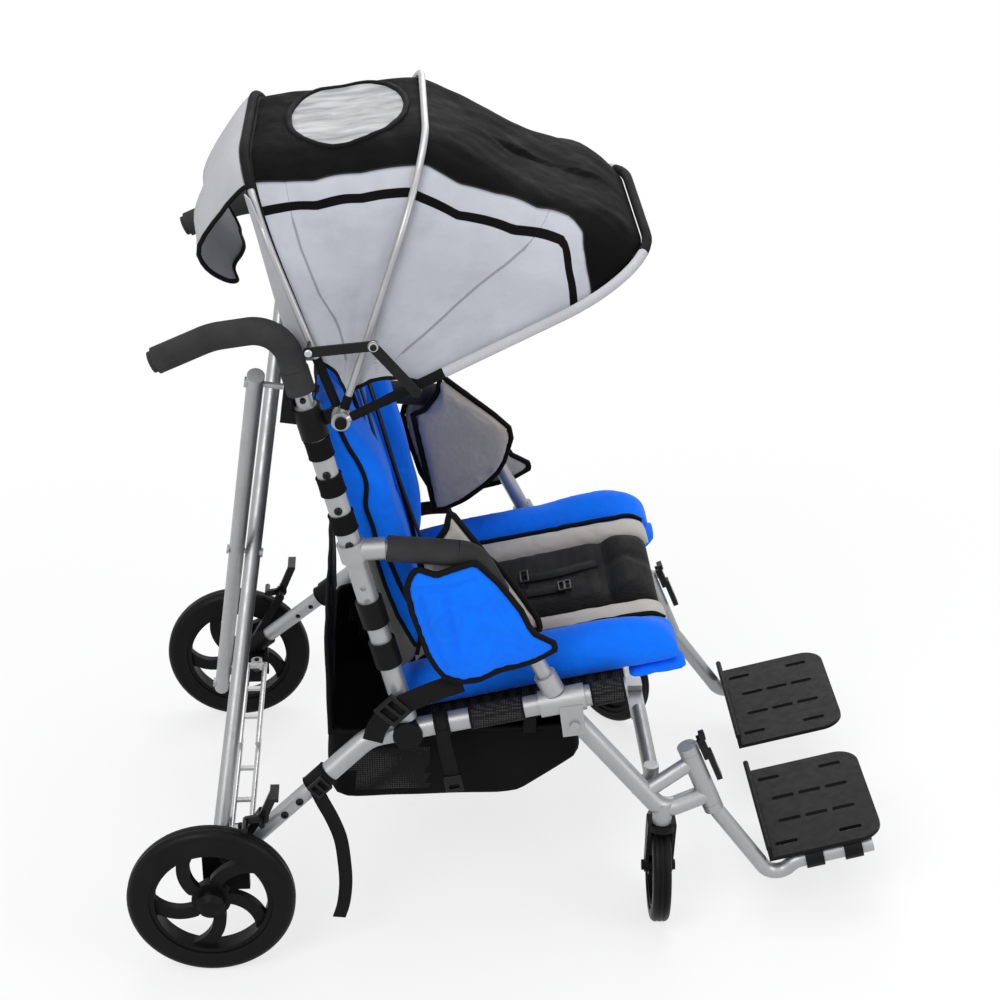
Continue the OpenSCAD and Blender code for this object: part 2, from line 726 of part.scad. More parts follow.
// X tubes. Tube a runs behind tube b. Only tube b's foot turns in an ear
cap_len = 16;
cap_from_share = 0.4;
module x_tube(side) {
    off = side * x_layer;
    low = in_x(-side * x_half, off, 0);
    top = in_x(side * x_half, off, x_span);
    dir = unit(top - low);
    short_pin = x_fwd * (ear_off - sunk - off);
    head_at = x_fwd * (ear_off + ear_t + seat_gap - off);
    rod(low - dir * cap_len, top + dir * cap_len, x_tube_d);
    rod(top + dir * cap_len * cap_from_share, top + dir * (cap_len + over), x_tube_d + over);
    rod(top, top + short_pin, x_pin_d);
    for (p = [top, low]) rod(p - x_fwd * (x_tube_d / 2 + x_pin_head_t), p, x_pin_head);
    if (side > 0) {
        rod(low, low + head_at + x_fwd * x_pin_head_t, x_pin_d);
        rod(low + head_at, low + head_at + x_fwd * x_pin_head_t, x_pin_head);
    } else {
        rod(low, low + short_pin, x_pin_d);
    }
}

module x_tube_behind() difference() {
    x_tube(-1);
    rod(in_x(0, -2 * ear_off, x_span / 2), in_x(0, 2 * ear_off, x_span / 2), x_pin_d + 2 * run);
}

module x_tube_front() {
    x_tube(1);
    back = -x_layer - x_tube_d / 2 - seat_gap;
    rod(in_x(0, back - x_pin_head_t, x_span / 2), in_x(0, x_layer, x_span / 2), x_pin_d);
    rod(in_x(0, back - x_pin_head_t, x_span / 2), in_x(0, back, x_span / 2), x_pin_head);
    rod(in_x(0, x_layer, x_span / 2), in_x(0, x_layer + x_tube_d / 2 + x_pin_head_t, x_span / 2), x_pin_head);
}

// Half of the rear spreader, drawn for the right side. level is -1 for the lower half
spread_lap = 14;
spread_eye_share = 0.4;
spread_bar_share = 0.8;
rung_shares = [0.3, 0.66];
module spreader(level) {
    z = spreader_z + level * (spreader_d + clear) / 2;
    bar_at = spread_eye_d * spread_eye_share - spreader_half;
    difference() {
        union() {
            for (e = [-1, 1]) translate([spreader_x + e * spreader_gap / 2, 0, z])
                rod([0, bar_at, 0], [0, spread_lap, 0], spreader_d);
            translate([spreader_x - spreader_gap / 2, bar_at, z - spreader_d * spread_bar_share / 2])
                cube([spreader_gap, spreader_d, spreader_d * spread_bar_share]);
            for (s = rung_shares)
                translate([spreader_x - spreader_gap / 2, -spreader_half * s, z - spreader_d / 4])
                    cube([spreader_gap, spreader_d, spreader_d / 2]);
            translate([spreader_x, -spreader_half, spread_low])
                cylinder(d = spread_eye_d, h = z + spreader_d / 2 - spread_low);
        }
        translate([spreader_x, -spreader_half, 0]) cylinder(d = spread_pin_d + 2 * run, h = 2 * spreader_z);
    }
}

// Half of the front cross tube, with a flat tongue that laps the other half
tongue_share = 0.3;
tongue_lap = 16;
module cross_tube(level) {
    tongue_from = -cross_half * tongue_share;
    tongue_z = cross_z + level * (cross_lap + clear) / 2 - cross_lap / 2;
    difference() {
        union() {
            rod([cross_x, -cross_half, cross_z], [cross_x, tongue_from, cross_z], cross_d);
            translate([cross_x - cross_d / 2, tongue_from - cross_d / 2, tongue_z])
                cube([cross_d, tongue_lap - tongue_from + cross_d / 2, cross_lap]);
            translate([cross_x, -cross_half, cross_z - cross_d / 2]) cylinder(d = cross_eye_d, h = cross_d);
        }
        translate([cross_x, -cross_half, 0]) cylinder(d = cross_pin_d + 2 * run, h = 2 * cross_z);
    }
}

// Brake lever: pedal, arm and the pin that bears on the tyre
pedal_dir = [0.4, 0, 0.92];
boss_share = 2.2;
brake_arm_share = 1.6;
pedal_tread_share = 0.8;
pedal_wide = 36;
module brake_lever() {
    p = [brake_pivot.x, brake_y, brake_pivot.z];
    pin = [brake_pin_at.x, brake_y, brake_pin_at.z];
    mid = [0, -1.5 * brake_t, 0];
    difference() {
        union() {
            rod(p - [0, 2 * brake_t, 0], p - [0, brake_t, 0], brake_bolt_d * boss_share);
            translate(mid) bar(p, pin, brake_t * brake_arm_share, brake_t);
            translate(mid) bar(p, p + pedal_dir * brake_pedal, brake_t * 2, brake_t);
            translate(p + pedal_dir * brake_pedal - [brake_t, pedal_wide, 0])
                cube([brake_t * 2, pedal_wide, brake_t * pedal_tread_share]);
            rod(pin - [0, brake_t, 0], [pin.x, -wheel_half - rear_tyre_w / 3, pin.z], brake_pin_d);
        }
        rod(p + [0, brake_t, 0], p - [0, pedal_wide, 0], brake_bolt_d + 2 * run);
    }
}

// Caster, drawn round its own swivel axis and trailing to -X
caster_axle_d = 10;
fork_gap = 2;
fork_t = 5;
fork_back_share = 0.7;
fork_front_share = 0.55;
fork_foot_share = 0.9;
fork_bolt_share = 1.5;
fork_bolt_proud = 4;
module at_caster(yaw) translate([foot_x, -foot_half, 0]) rotate(yaw) children();
module at_caster_axle() translate([-caster_trail, 0, caster_r]) rotate([90, 0, 0]) children();

module caster_fork() {
    arm_y = caster_w / 2 + fork_gap;
    crown_r = arm_y + fork_t;
    back = caster_trail * fork_back_share;
    foot_half_w = caster_axle_d * fork_foot_share;
    bolt_half = crown_r + fork_bolt_proud;
    translate([0, 0, crown_low]) cylinder(r = crown_r, h = crown_t);
    translate([-back, -crown_r, crown_low]) cube([back, 2 * crown_r, crown_t]);
    translate([0, 0, crown_low]) cylinder(d = stem_d, h = stem_top - crown_low);
    for (e = [-1, 1]) translate([0, e * (arm_y + fork_t / 2) + fork_t / 2, 0]) rotate([90, 0, 0])
        linear_extrude(fork_t) {
            polygon([
                [-back, crown_low + crown_t], [crown_r * fork_front_share, crown_low + crown_t],
                [foot_half_w - caster_trail, caster_r], [-caster_trail - foot_half_w, caster_r]
            ]);
            translate([-caster_trail, caster_r]) circle(d = caster_axle_d * 2);
        }
    at_caster_axle() translate([0, 0, -bolt_half]) cylinder(d = caster_axle_d, h = 2 * bolt_half);
    for (e = [0, 1]) mirror([0, e, 0]) at_caster_axle() translate([0, 0, crown_r])
        cylinder(d = caster_axle_d * fork_bolt_share, h = fork_bolt_proud);
}

caster_rim_r = caster_r - caster_tyre_h;
hub_side_share = 0.7;
dish_in_share = 1.4;
dish_wide_share = 2.1;
dish_deep_share = 0.2;
step_deep_share = 0.42;
module caster_hub() at_caster_axle() rotate_extrude() difference() {
    bore_r = caster_axle_d / 2 + run;
    half_w = caster_w / 2 + fork_gap * hub_side_share;
    translate([bore_r, -half_w]) square([caster_rim_r - bore_r, 2 * half_w]);
    for (e = [0, 1]) mirror([0, e]) {
        translate([caster_axle_d * dish_in_share, caster_w * dish_deep_share])
            square([caster_rim_r - caster_axle_d * dish_wide_share, caster_w]);
        translate([caster_rim_r - caster_axle_d, caster_w * step_deep_share])
            square([caster_axle_d * 2, caster_w]);
    }
}

caster_round = 7.5;
module caster_tyre() at_caster_axle() rotate_extrude() difference() {
    round_r = caster_r - caster_round;
    union() {
        translate([caster_rim_r + bead_gap, -caster_w / 2])
            square([caster_tyre_h - caster_round - bead_gap, caster_w]);
        translate([round_r, caster_round - caster_w / 2]) square([caster_round, caster_w - 2 * caster_round]);
        for (e = [-1, 1]) translate([round_r, e * (caster_w / 2 - caster_round)]) circle(caster_round);
    }
    for (e = [-1, 1]) translate([caster_r, e * groove_step / 2]) circle(d = groove_d);
}

// Footrest hanger with its pivot pin, down tube and flip axis
lever_up_share = 0.6;
lever_out_share = 0.75;
lever_rise = seat_gap + collar_t * lever_up_share;
lever_pivot = recv_top - swing * lever_rise + swing_out * recv_d * lever_out_share;
lever_d = 6;
lever_w = 10;
lever_len = 62;
tongue_t_share = 0.6;
module hanger() {
    top_end = recv_top - swing * (seat_gap + collar_t);
    rod(top_end, hanger_top, hanger_pin_d);
    rod(top_end, recv_top - swing * seat_gap, recv_d);
    rod(recv_low + swing * seat_gap, recv_low + swing * (seat_gap + collar_t), recv_d);
    bent_tube([hanger_top, hanger_low, plate_axis, plate_axis + plate_dir * plate_rod],
        [hanger_bend_r, hanger_bend_r], hanger_d);
    difference() {
        bar(top_end + swing * collar_t / 2, lever_pivot, collar_t, lever_w * tongue_t_share);
        rod(lever_pivot - [0, lever_w, 0], lever_pivot + [0, lever_w, 0], lever_d + 2 * run);
    }
}

cheek_t_share = 0.4;
lever_plate_share = 0.8;
lever_lap_share = 1.6;
lever_cheek_share = 2.4;
module release_lever() {
    tip_at = lever_pivot + swing_out * lever_w * cheek_t_share;
    gap_half = lever_w * tongue_t_share / 2 + seat_gap;
    cheek = lever_w * cheek_t_share;
    half_w = gap_half + cheek;
    plate = lever_w * lever_plate_share;
    for (e = [-1, 1]) translate([0, e * (gap_half + cheek / 2), 0])
        bar(lever_pivot - swing * lever_w, lever_pivot + swing * lever_w * lever_cheek_share, lever_w, cheek);
    bar(tip_at + swing * lever_w * lever_lap_share, tip_at + swing * lever_len, plate, 2 * half_w + over);
    bar(tip_at - swing * plate, tip_at - swing * lever_w * lever_lap_share, plate, 2 * half_w + over);
    rod(lever_pivot - [0, half_w + over, 0], lever_pivot + [0, half_w + over, 0], lever_d);
}

// Footplate, drawn along its flip axis with Y inwards and Z square to the tread
knuckle_wall = 4;
knuckle_d = hanger_d + 2 * knuckle_wall;
knuckle_len = 26;
knuckle_places = [14, 70];
plate_back = 36;
plate_out = 9;
plate_low = knuckle_d / 2 - over;
plate_front_x = plate_axis.x + (plate_len - plate_back) * cos(plate_pitch) - plate_low * sin(plate_pitch);
mid_x = (plate_front_x - rear_r) / 2;
lip_t_share = 0.9;
lip_bead_share = 1.5;
rib_len_share = 0.8;
rib_shares = [0.25, 0.5, 0.75];
slot_shares = [
    [0.26, 0.37], [0.26, 0.63], [0.5, 0.37], [0.5, 0.63], [0.74, 0.37], [0.74, 0.63],
    [0.18, 0.13], [0.18, 0.87], [0.74, 0.13], [0.74, 0.87]
];
module plate_outline() {
    r = plate_corner_r;
    square([plate_len - r, plate_w]);
    translate([0, r]) square([plate_len, plate_w - 2 * r]);
    for (y = [r, plate_w - r]) translate([plate_len - r, y]) circle(r);
}

module footplate() translate(plate_axis) rotate([0, -plate_pitch, 0]) difference() {
    lip_t = plate_t * lip_t_share;
    union() {
        translate([-plate_back, -plate_out, plate_low]) {
            linear_extrude(plate_t) difference() {
                plate_outline();
                for (s = slot_shares) translate([plate_len * s.x, plate_w * s.y]) slot2d(slot_len, slot_w);
            }
            cube([lip_t, plate_w, heel_h]);
            translate([lip_t / 2, 0, heel_h]) rotate([-90, 0, 0])
                cylinder(d = lip_t * lip_bead_share, h = plate_w);
            for (y = rib_shares) translate([lip_t, plate_w * y, -plate_t])
                cube([plate_len * rib_len_share, plate_t / 2, plate_t + sunk]);
        }
        for (x = knuckle_places) translate([x, 0, 0]) rotate([0, 90, 0])
            cylinder(d = knuckle_d, h = knuckle_len);
    }
    translate([-plate_back, 0, 0]) rotate([0, 90, 0]) cylinder(d = hanger_d + 2 * run, h = plate_len);
}

// Sliding push handle
button_travel = 3.4;
button_place_share = 0.36;
button_in_share = 0.2;
button_out_share = 0.3;
button_round_share = 0.25;
button_tip_share = 0.6;
button_at = on_back(back_len + handle_free * button_place_share) - [0, handle_d * button_in_share, 0];
module handle_tube() difference() {
    rod(on_back(back_len - handle_in), handle_top, handle_d);
    rod(button_at + [0, over + button_travel, 0], button_at - [0, handle_d, 0], button_d + 2 * run);
}

module snap_button() {
    round_h = button_d * button_round_share;
    neck = button_at - [0, handle_d * button_out_share + button_h - round_h, 0];
    rod(button_at + [0, over - seat_gap, 0], neck, button_d);
    translate(neck) rotate([90, 0, 0]) cylinder(d1 = button_d, d2 = button_d * button_tip_share, h = round_h);
}

grip_from_share = 0.7;
grip_collar_shares = [0.62, 1.6];
grip_collar_wall = 1;
grip_cap_h = 6;
grip_cap_share = 0.8;
module grip() difference() {
    union() {
        bent_tube([on_back(back_len + handle_free * grip_from_share), grip_bend, grip_knee, grip_end],
            [grip_bend_r, grip_bend_r * 2], grip_d);
        rod(on_back(back_len + handle_free * grip_collar_shares[0]),
            on_back(back_len + handle_free * grip_collar_shares[1]), grip_d + 2 * grip_collar_wall);
        rod(grip_end, grip_end + unit(grip_end - grip_knee) * grip_cap_h, grip_d * grip_cap_share);
    }
    rod(back_top, on_back(back_len + handle_free + bead_gap), handle_d + 2 * bead_gap);
}

// Canopy hoops
bow_foot_share = 0.36;
bow_foot = ring_d * bow_foot_share;
module at_hub(a) translate([hub.x, 0, hub.z]) rotate([0, a, 0]) children();

module bow(half, h, a) at_hub(a) difference() {
    union() {
        bent_tube(
            [[0, -half, bow_foot], [0, bow_draw - half, h], [0, half - bow_draw, h], [0, half, bow_foot]],
            [bow_corner_r, bow_corner_r], bow_d
        );
        for (e = [-1, 1]) translate([0, e * half + ring_t / 2, 0]) rotate([90, 0, 0])
            cylinder(d = ring_d, h = ring_t);
    }
    rotate([90, 0, 0]) translate([0, 0, -2 * half]) cylinder(d = hub_pin_d + 2 * run, h = 4 * half);
}

// Points of one cloth section inside a hoop of the given size, from the right hem to the left hem
leg_shares = [0, 0.35, 0.7];
arc_steps = 5;
function hoop_side(half, h, low, off) = let (
    corner = [half - bow_draw, h],
    d1 = unit([-bow_draw, h]),
    n = unit([-1, 0] - d1 * (d1 * [-1, 0])),
    turn = acos(d1 * [-1, 0]),
    start = corner - d1 * bow_corner_r * tan(turn / 2),
    c = start + n * bow_corner_r,
    r = bow_corner_r - off,
    first = [half, 0] + n * off + d1 * low
) concat(
    [for (t = leg_shares) lerp(first, start + n * off, t)],
    [for (i = [0 : arc_steps]) let (a = turn * i / arc_steps) c + (d1 * sin(a) - n * cos(a)) * r]
);
function hoop_line(half, h, low, off, a) = let (
    side = hoop_side(half, h, low, off),
    back = [for (i = [len(side) - 1 : -1 : 0]) side[i]],
    full = concat([for (p = side) [-p.x, p.y]], [[0, h - off]], back)
) [for (p = full) [hub.x + p.y * sin(a), p.x, hub.z + p.y * cos(a)]];

// Canopy cloth: angle of each section, its height as a share of the rear hoop, and its hem
cloth_gap = 1;
cloth_off = bow_d / 2 + cloth_gap;
cloth_angles = [bow_rear_a, 0, bow_mid_a, 31, 41, 51, 58, bow_front_a];
cloth_shares = [1, 0.985, bow_mid_h / bow_rear_h, 1.088, 1.098, 1.17, 1.3, bow_front_h / bow_rear_h];
cloth_hems = [75, 42, 26, 36, 56, 80, 92, 110];
hem_out_share = 0.9;
function hem_half(a) = bow_half_rear
    + (a - bow_rear_a) / (bow_front_a - bow_rear_a) * 2 * bow_step * hem_out_share;
function section(i, off) = let (a = cloth_angles[i])
    hoop_line(hem_half(a), bow_rear_h * cloth_shares[i], cloth_hems[i], off, a);
flap_half = 170;
flap_shares = [[0, 0], [0.3, 0.1], [0.42, 0.4], [0.38, 0.75], [0.3, 1]];
flap_columns = 12;
flap_wave = 4;
flap_waves = 2.5;
flap_taper_share = 0.1;
module canopy_cloth() {
    sections = [0 : len(cloth_angles) - 1];
    top_x = hub.x + bow_rear_h * sin(bow_rear_a) - bow_d / 2 - bow_gap;
    top_z = hub.z + bow_rear_h * cos(bow_rear_a);
    function wave(j, k) = flap_wave * k * sin(j * 360 / flap_columns * flap_waves);
    function flap_pt(k, j, back) = [
        top_x - flap_shares[k].x * flap_drop - back + wave(j, k),
        lerp(-flap_half, flap_half, j / flap_columns) * (1 - flap_taper_share * k),
        top_z - flap_shares[k].y * flap_drop
    ];
    rows = [0 : len(flap_shares) - 1];
    function flap(back) = [for (k = rows) [for (j = [0 : flap_columns]) flap_pt(k, j, back)]];
    slab([for (i = sections) section(i, cloth_off)], [for (i = sections) section(i, cloth_off + cloth_t)]);
    slab(flap(0), flap(cloth_t));
}

// Two-link stay between the rear and front hoops
link_t = 3;
link_w = 14;
link_gap = 1.5;
layer_gap = 0.4;
stay_gap = 0.5;
rivet_d = 5;
rivet_head_t = 1.5;
rivet_head_share = 1.7;
link_y = -(bow_half_front + bow_d / 2 + link_gap);
layer = [0, -(link_t + layer_gap), 0];
function on_bow(r, a, y) = [hub.x + r * sin(a), y, hub.z + r * cos(a)];
stay_a = on_bow(stay_r, bow_rear_a, link_y);
stay_c = on_bow(stay_r, bow_front_a, link_y);
stay_mid = (stay_a + stay_c) / 2;
stay_half = norm(stay_c - stay_a) / 2;
stay_up = unit([stay_a.z - stay_c.z, 0, stay_c.x - stay_a.x]);
stay_b = stay_mid + stay_up * sqrt(stay_len * stay_len - stay_half * stay_half);
// Outer skin of a hoop's leg where a stay rivet meets it
function bow_skin(half, h) = let (lean = bow_draw / (h - bow_foot))
    half - lean * (stay_r - bow_foot - rivet_d / 2) + bow_d / 2 + stay_gap;

module link(p, q) {
    translate([0, -link_t / 2, 0]) bar(p, q, link_w - over, link_t);
    for (e = [p, q]) rod(e, e - [0, link_t, 0], link_w);
}

module stay_rear() {
    head = stay_b + layer * 2 - [0, seat_gap, 0];
    link(stay_a, stay_b);
    rod([stay_a.x, -bow_skin(bow_half_rear, bow_rear_h), stay_a.z], stay_a - [0, link_t + over, 0], rivet_d);
    rod(stay_b, head - [0, rivet_head_t / 2, 0], rivet_d);
    rod(head, head - [0, rivet_head_t, 0], rivet_d * rivet_head_share);
}

module stay_front() difference() {
    union() {
        link(stay_b + layer, stay_c + layer);
        rod([stay_c.x, -bow_skin(bow_half_front, bow_front_h), stay_c.z],
            stay_c + layer - [0, link_t + over, 0], rivet_d);
    }
    rod(stay_b + [0, over, 0], stay_b + layer * 4, rivet_d + 2 * run);
}

// Sling of woven cloth on the seat rails, with sleeves round the tubes
sling_start = 22;
sling_end_gap = 4;
sling_spans = [[84, 156], [252, rail_front - sling_end_gap]];
sling_in = 4;
sling_lap_share = 0.6;
wrap_w = 24;
wrap_t = 1.8;
wrap_places = [318, 374, 428];
tab_in_share = 0.66;
sling_bore = tube_d + 2 * seat_gap;
module in_seat() translate([pivot_x, 0, pivot_z]) rotate([0, -seat_tilt, 0]) children();
module in_back() translate([pivot_x, 0, pivot_z]) rotate([0, -back_lean, 0]) children();

module seat_sling() {
    inner = side_half - clamp_d / 2 - sling_in;
    outer = side_half - sling_bore / 2 - sling_t * sling_lap_share;
    tab_out = side_half - tube_r - wrap_t / 2;
    tab_in = back_half * tab_in_share;
    for (e = [0, 1], s = sling_spans) mirror([0, e, 0])
        pipe(on_rail(s[0]), on_rail(s[1]), sling_bore + 2 * sling_t, sling_bore);
    in_seat() translate([sling_start, -inner, -sling_t / 2])
        cube([sling_spans[1][1] - sling_start, 2 * inner, sling_t]);
    for (s = sling_spans) in_seat() translate([s[0], -outer, -sling_t / 2])
        cube([s[1] - s[0], 2 * outer, sling_t]);
    for (e = [0, 1], s = wrap_places) mirror([0, e, 0]) {
        pipe(on_back(s), on_back(s + wrap_w), sling_bore + 2 * wrap_t, sling_bore);
        in_back() translate([back_face - seat_gap - wrap_t, -tab_out, s])
            cube([wrap_t, tab_out - tab_in, wrap_w]);
    }
}

// Cushions. Shares run along a grid from rim to rim
welt = 4;
groove_deep = 7;
side_draw = 8;
wing_shares = [0.42, 0.62];
band_share = 0.012;
row_share = 0.019;
function wing(v) = lookup(abs(2 * v - 1), [[wing_shares[0], 0], [wing_shares[1], 1]]);
function channels(t, places, w) = [for (c = places) dip(t, c, w)] * [for (c = places) 1];

seat_start = 8;
seat_low = sling_t / 2 + seat_gap;
seat_rim = 12;
seat_band_shares = [0.19, 0.28, 0.72, 0.81];
seat_row_shares = [0.62];
seat_u_shares = [0, 0.015, 0.05, 0.12, 0.25, 0.4, 0.54, 0.6, 0.62, 0.64, 0.7, 0.8, 0.9, 0.96, 0.988, 1];
pad_v_shares = [
    0, 0.01, 0.035, 0.08, 0.14, 0.175, 0.19, 0.205, 0.24, 0.265, 0.28, 0.295, 0.36, 0.5, 0.64, 0.705, 0.72,
    0.735, 0.76, 0.795, 0.81, 0.825, 0.86, 0.92, 0.965, 0.99, 1
];
function seat_pt(u, v, low) = let (
    e = puff(u, 7) * puff(v, 9),
    groove = channels(v, seat_band_shares, band_share) + channels(u, seat_row_shares, row_share),
    h = lerp(seat_mid_h, seat_side_h, wing(v)) - groove_deep * groove,
    z = low ? (seat_rim - welt) * (1 - e) : lerp(seat_rim, h, e)
) [seat_start + seat_len * u, (2 * v - 1) * (seat_half - side_draw * sin(180 * u)), seat_low + z];
module seat_cushion() in_seat() slab(
    [for (u = seat_u_shares) [for (v = pad_v_shares) seat_pt(u, v, false)]],
    [for (u = seat_u_shares) [for (v = pad_v_shares) seat_pt(u, v, true)]]
);

back_face = -6;
back_start = 66;
back_rim = 10;
back_band_shares = [0.28, 0.72];
back_row_shares = [0.36, 0.68];
back_u_shares = [0, 0.02, 0.06, 0.14, 0.26, 0.33, 0.36, 0.39, 0.5, 0.64, 0.68, 0.72, 0.85, 0.94, 0.98, 1];
function back_pt(u, v, low) = let (
    e = puff(u, 8) * puff(v, 9),
    groove = channels(v, back_band_shares, band_share) + channels(u, back_row_shares, row_share),
    h = lerp(back_mid_t, back_side_t, wing(v)) - groove_deep * groove,
    x = low ? (back_rim - welt) * (1 - e) : lerp(back_rim, h, e)
) [back_face + x, (2 * v - 1) * (back_half - side_draw * sin(180 * u)), back_start + back_h * u];
module back_cushion() in_back() slab(
    [for (u = back_u_shares) [for (v = pad_v_shares) back_pt(u, 1 - v, false)]],
    [for (u = back_u_shares) [for (v = pad_v_shares) back_pt(u, 1 - v, true)]]
);

// Side pad: an inner cushion inside the armrest and an outer panel outside it, by their edges
// along the seat rail
pad_y = side_half - (arm_foam_d + pad_t) / 2 - seat_gap;
pad_from = 66;
pad_to = 214;
pad_low = 94;
pad_rim = 3;
pad_tops = [[66, 250], [98, 302], [132, 314], [170, 250], [199, 180], [214, 136]];
pad_u_shares = [0, 0.02, 0.07, 0.16, 0.3, 0.45, 0.6, 0.75, 0.88, 0.96, 1];
pad_h_shares = [0, 0.03, 0.1, 0.14, 0.18, 0.32, 0.5, 0.68, 0.84, 0.95, 1];
pad_seam_share = 0.14;
pad_seam_w_share = 0.02;
pad_seam_deep = 3;
function pad_pt(u, v, side) = let (
    s = lerp(pad_from, pad_to, u),
    half = pad_t / 2 * puff(u, 6) * puff(v, 6) - pad_seam_deep * dip(v, pad_seam_share, pad_seam_w_share)
) [s, side * max(pad_rim / 2, half) - pad_y, lerp(pad_low, lookup(s, pad_tops), v)];

panel_y = side_half + (arm_foam_d + panel_t) / 2 + seat_gap;
panel_places = [42, 50, 62, 84, 107, 138, 162, 184, 190, 216];
panel_lows = [190, 120, 86, 72, 70, 79, 80, 83, 84.5, 94];
panel_tops = [225, 243, 252, 238, 242, 245.5, 208, 158, 126, 104];
panel_h_shares = [0, 0.06, 0.2, 0.5, 0.8, 0.94, 1];
panel_last = len(panel_places) - 1;
function panel_pt(i, v, side) = let (
    u = (panel_places[i] - panel_places[0]) / (panel_places[panel_last] - panel_places[0]),
    half = panel_t / 2 * puff(u, 6) * puff(v, 6)
) [panel_places[i], side * max(pad_rim / 2, half) - panel_y, lerp(panel_lows[i], panel_tops[i], v)];
module side_pad() in_seat() {
    slab([for (u = pad_u_shares) [for (v = pad_h_shares) pad_pt(u, v, -1)]],
        [for (u = pad_u_shares) [for (v = pad_h_shares) pad_pt(u, v, 1)]]);
    slab([for (i = [0 : panel_last]) [for (v = panel_h_shares) panel_pt(i, v, -1)]],
        [for (i = [0 : panel_last]) [for (v = panel_h_shares) panel_pt(i, v, 1)]]);
}

// Basket under the seat, open at the top, with a tall rear panel
nose_x_share = 0.76;
nose_z_share = 0.56;
module basket() translate([0, basket_half, 0]) rotate([90, 0, 0]) {
    nose_x = lerp(basket_rear_x, basket_front_x, nose_x_share);
    nose_z = lerp(basket_low_z, basket_rim_z, nose_z_share);
    w = basket_wall;
    outer = [
        [basket_rear_x, basket_low_z], [nose_x, basket_low_z], [basket_front_x, nose_z],
        [basket_front_x, basket_rim_z], [basket_rear_x, basket_rim_z]
    ];
    inner = [
        [basket_rear_x + w, basket_low_z + w], [nose_x - w / 2, basket_low_z + w],
        [basket_front_x - w, nose_z + w / 2], [basket_front_x - w, basket_rim_z + over],
        [basket_rear_x + w, basket_rim_z + over]
    ];
    difference() {
        linear_extrude(2 * basket_half) polygon(outer);
        translate([0, 0, w]) linear_extrude(2 * (basket_half - w)) polygon(inner);
    }
    translate([basket_rear_x, basket_rim_z - over, 0])
        cube([w, basket_back_z - basket_rim_z + over, 2 * basket_half]);
}

// Basket with the straps that hang it from the rails
strap_w = 14;
strap_places = [-38, 44, 168];
module hung_basket() {
    basket();
    for (e = [0, 1], s = strap_places) mirror([0, e, 0]) {
        top = on_rail(s) + [0, tube_r + seat_gap + wrap_t / 2, 0];
        low = [top.x, basket_wall / 2 - basket_half, basket_rim_z - strap_w];
        bar(low, top, strap_w, wrap_t);
    }
}

// Named sub-parts
module back_tube_r_node() color(SILVER) right() back_tube();
module back_tube_l_node() color(SILVER) left() back_tube();
module side_rail_r_node() color(SILVER) right() side_rail();
module side_rail_l_node() color(SILVER) left() side_rail();
module rear_leg_r_node() color(SILVER) right() rear_leg();
module rear_leg_l_node() color(SILVER) left() rear_leg();
module wheel_bracket_r_node() color(BLACK) right() wheel_bracket();
module wheel_bracket_l_node() color(BLACK) left() wheel_bracket();
module front_leg_r_node() color(SILVER) right() front_leg();
module front_leg_l_node() color(SILVER) left() front_leg();
module arm_tube_r_node() color(SILVER) right() arm_tube();
module arm_tube_l_node() color(SILVER) left() arm_tube();
module arm_foam_r_node() color(BLACK) right() arm_foam();
module arm_foam_l_node() color(BLACK) left() arm_foam();
module tube_sleeves_r_node() color(BLACK) right() tube_sleeves();
module tube_sleeves_l_node() color(BLACK) left() tube_sleeves();
module x_tube_a_node() color(SILVER) right() x_tube_behind();
module x_tube_b_node() color(SILVER) right() x_tube_front();
module spreader_r_node() color(SILVER) right() spreader(-1);
module spreader_l_node() color(SILVER) left() spreader(1);
module cross_tube_r_node() color(SILVER) right() cross_tube(-1);
module cross_tube_l_node() color(SILVER) left() cross_tube(1);
module rear_rim_r_node() color(SILVER) right() rear_rim();
module rear_rim_l_node() color(SILVER) left() rear_rim();
module rear_tyre_r_node() color(BLACK) right() rear_tyre();
module rear_tyre_l_node() color(BLACK) left() rear_tyre();
module brake_lever_r_node() color(BLACK) right() brake_lever();
module brake_lever_l_node() color(BLACK) left() brake_lever();
module caster_fork_r_node() color(BLACK) right() at_caster(caster_yaw_right) caster_fork();
module caster_fork_l_node() color(BLACK) left() at_caster(-caster_yaw_left) caster_fork();
module caster_hub_r_node() color(BLACK) right() at_caster(caster_yaw_right) caster_hub();
module caster_hub_l_node() color(BLACK) left() at_caster(-caster_yaw_left) caster_hub();
module caster_tyre_r_node() color(BLACK) right() at_caster(caster_yaw_right) caster_tyre();
module caster_tyre_l_node() color(BLACK) left() at_caster(-caster_yaw_left) caster_tyre();
module hanger_r_node() color(SILVER) right() hanger();
module hanger_l_node() color(SILVER) left() hanger();
module release_lever_r_node() color(BLACK) right() release_lever();
module release_lever_l_node() color(BLACK) left() release_lever();
module footplate_r_node() color(BLACK) right() footplate();
module footplate_l_node() color(BLACK) left() footplate();
module handle_tube_r_node() color(SILVER) right() handle_tube();
module handle_tube_l_node() color(SILVER) left() handle_tube();
module grip_r_node() color(BLACK) right() grip();
module grip_l_node() color(BLACK) left() grip();
module snap_button_r_node() color(BLACK) right() snap_button();
module snap_button_l_node() color(BLACK) left() snap_button();
module canopy_cloth_node() color(CLOTH) right() canopy_cloth();
module bow_rear_node() color(SILVER) right() bow(bow_half_rear, bow_rear_h, bow_rear_a);
module bow_mid_node() color(SILVER) right() bow(bow_half_mid, bow_mid_h, bow_mid_a);
module bow_front_node() color(SILVER) right() bow(bow_half_front, bow_front_h, bow_front_a);
module stay_rear_r_node() color(BLACK) right() stay_rear();
module stay_rear_l_node() color(BLACK) left() stay_rear();
module stay_front_r_node() color(BLACK) right() stay_front();
module stay_front_l_node() color(BLACK) left() stay_front();
module seat_sling_node() color(BLACK) right() seat_sling();
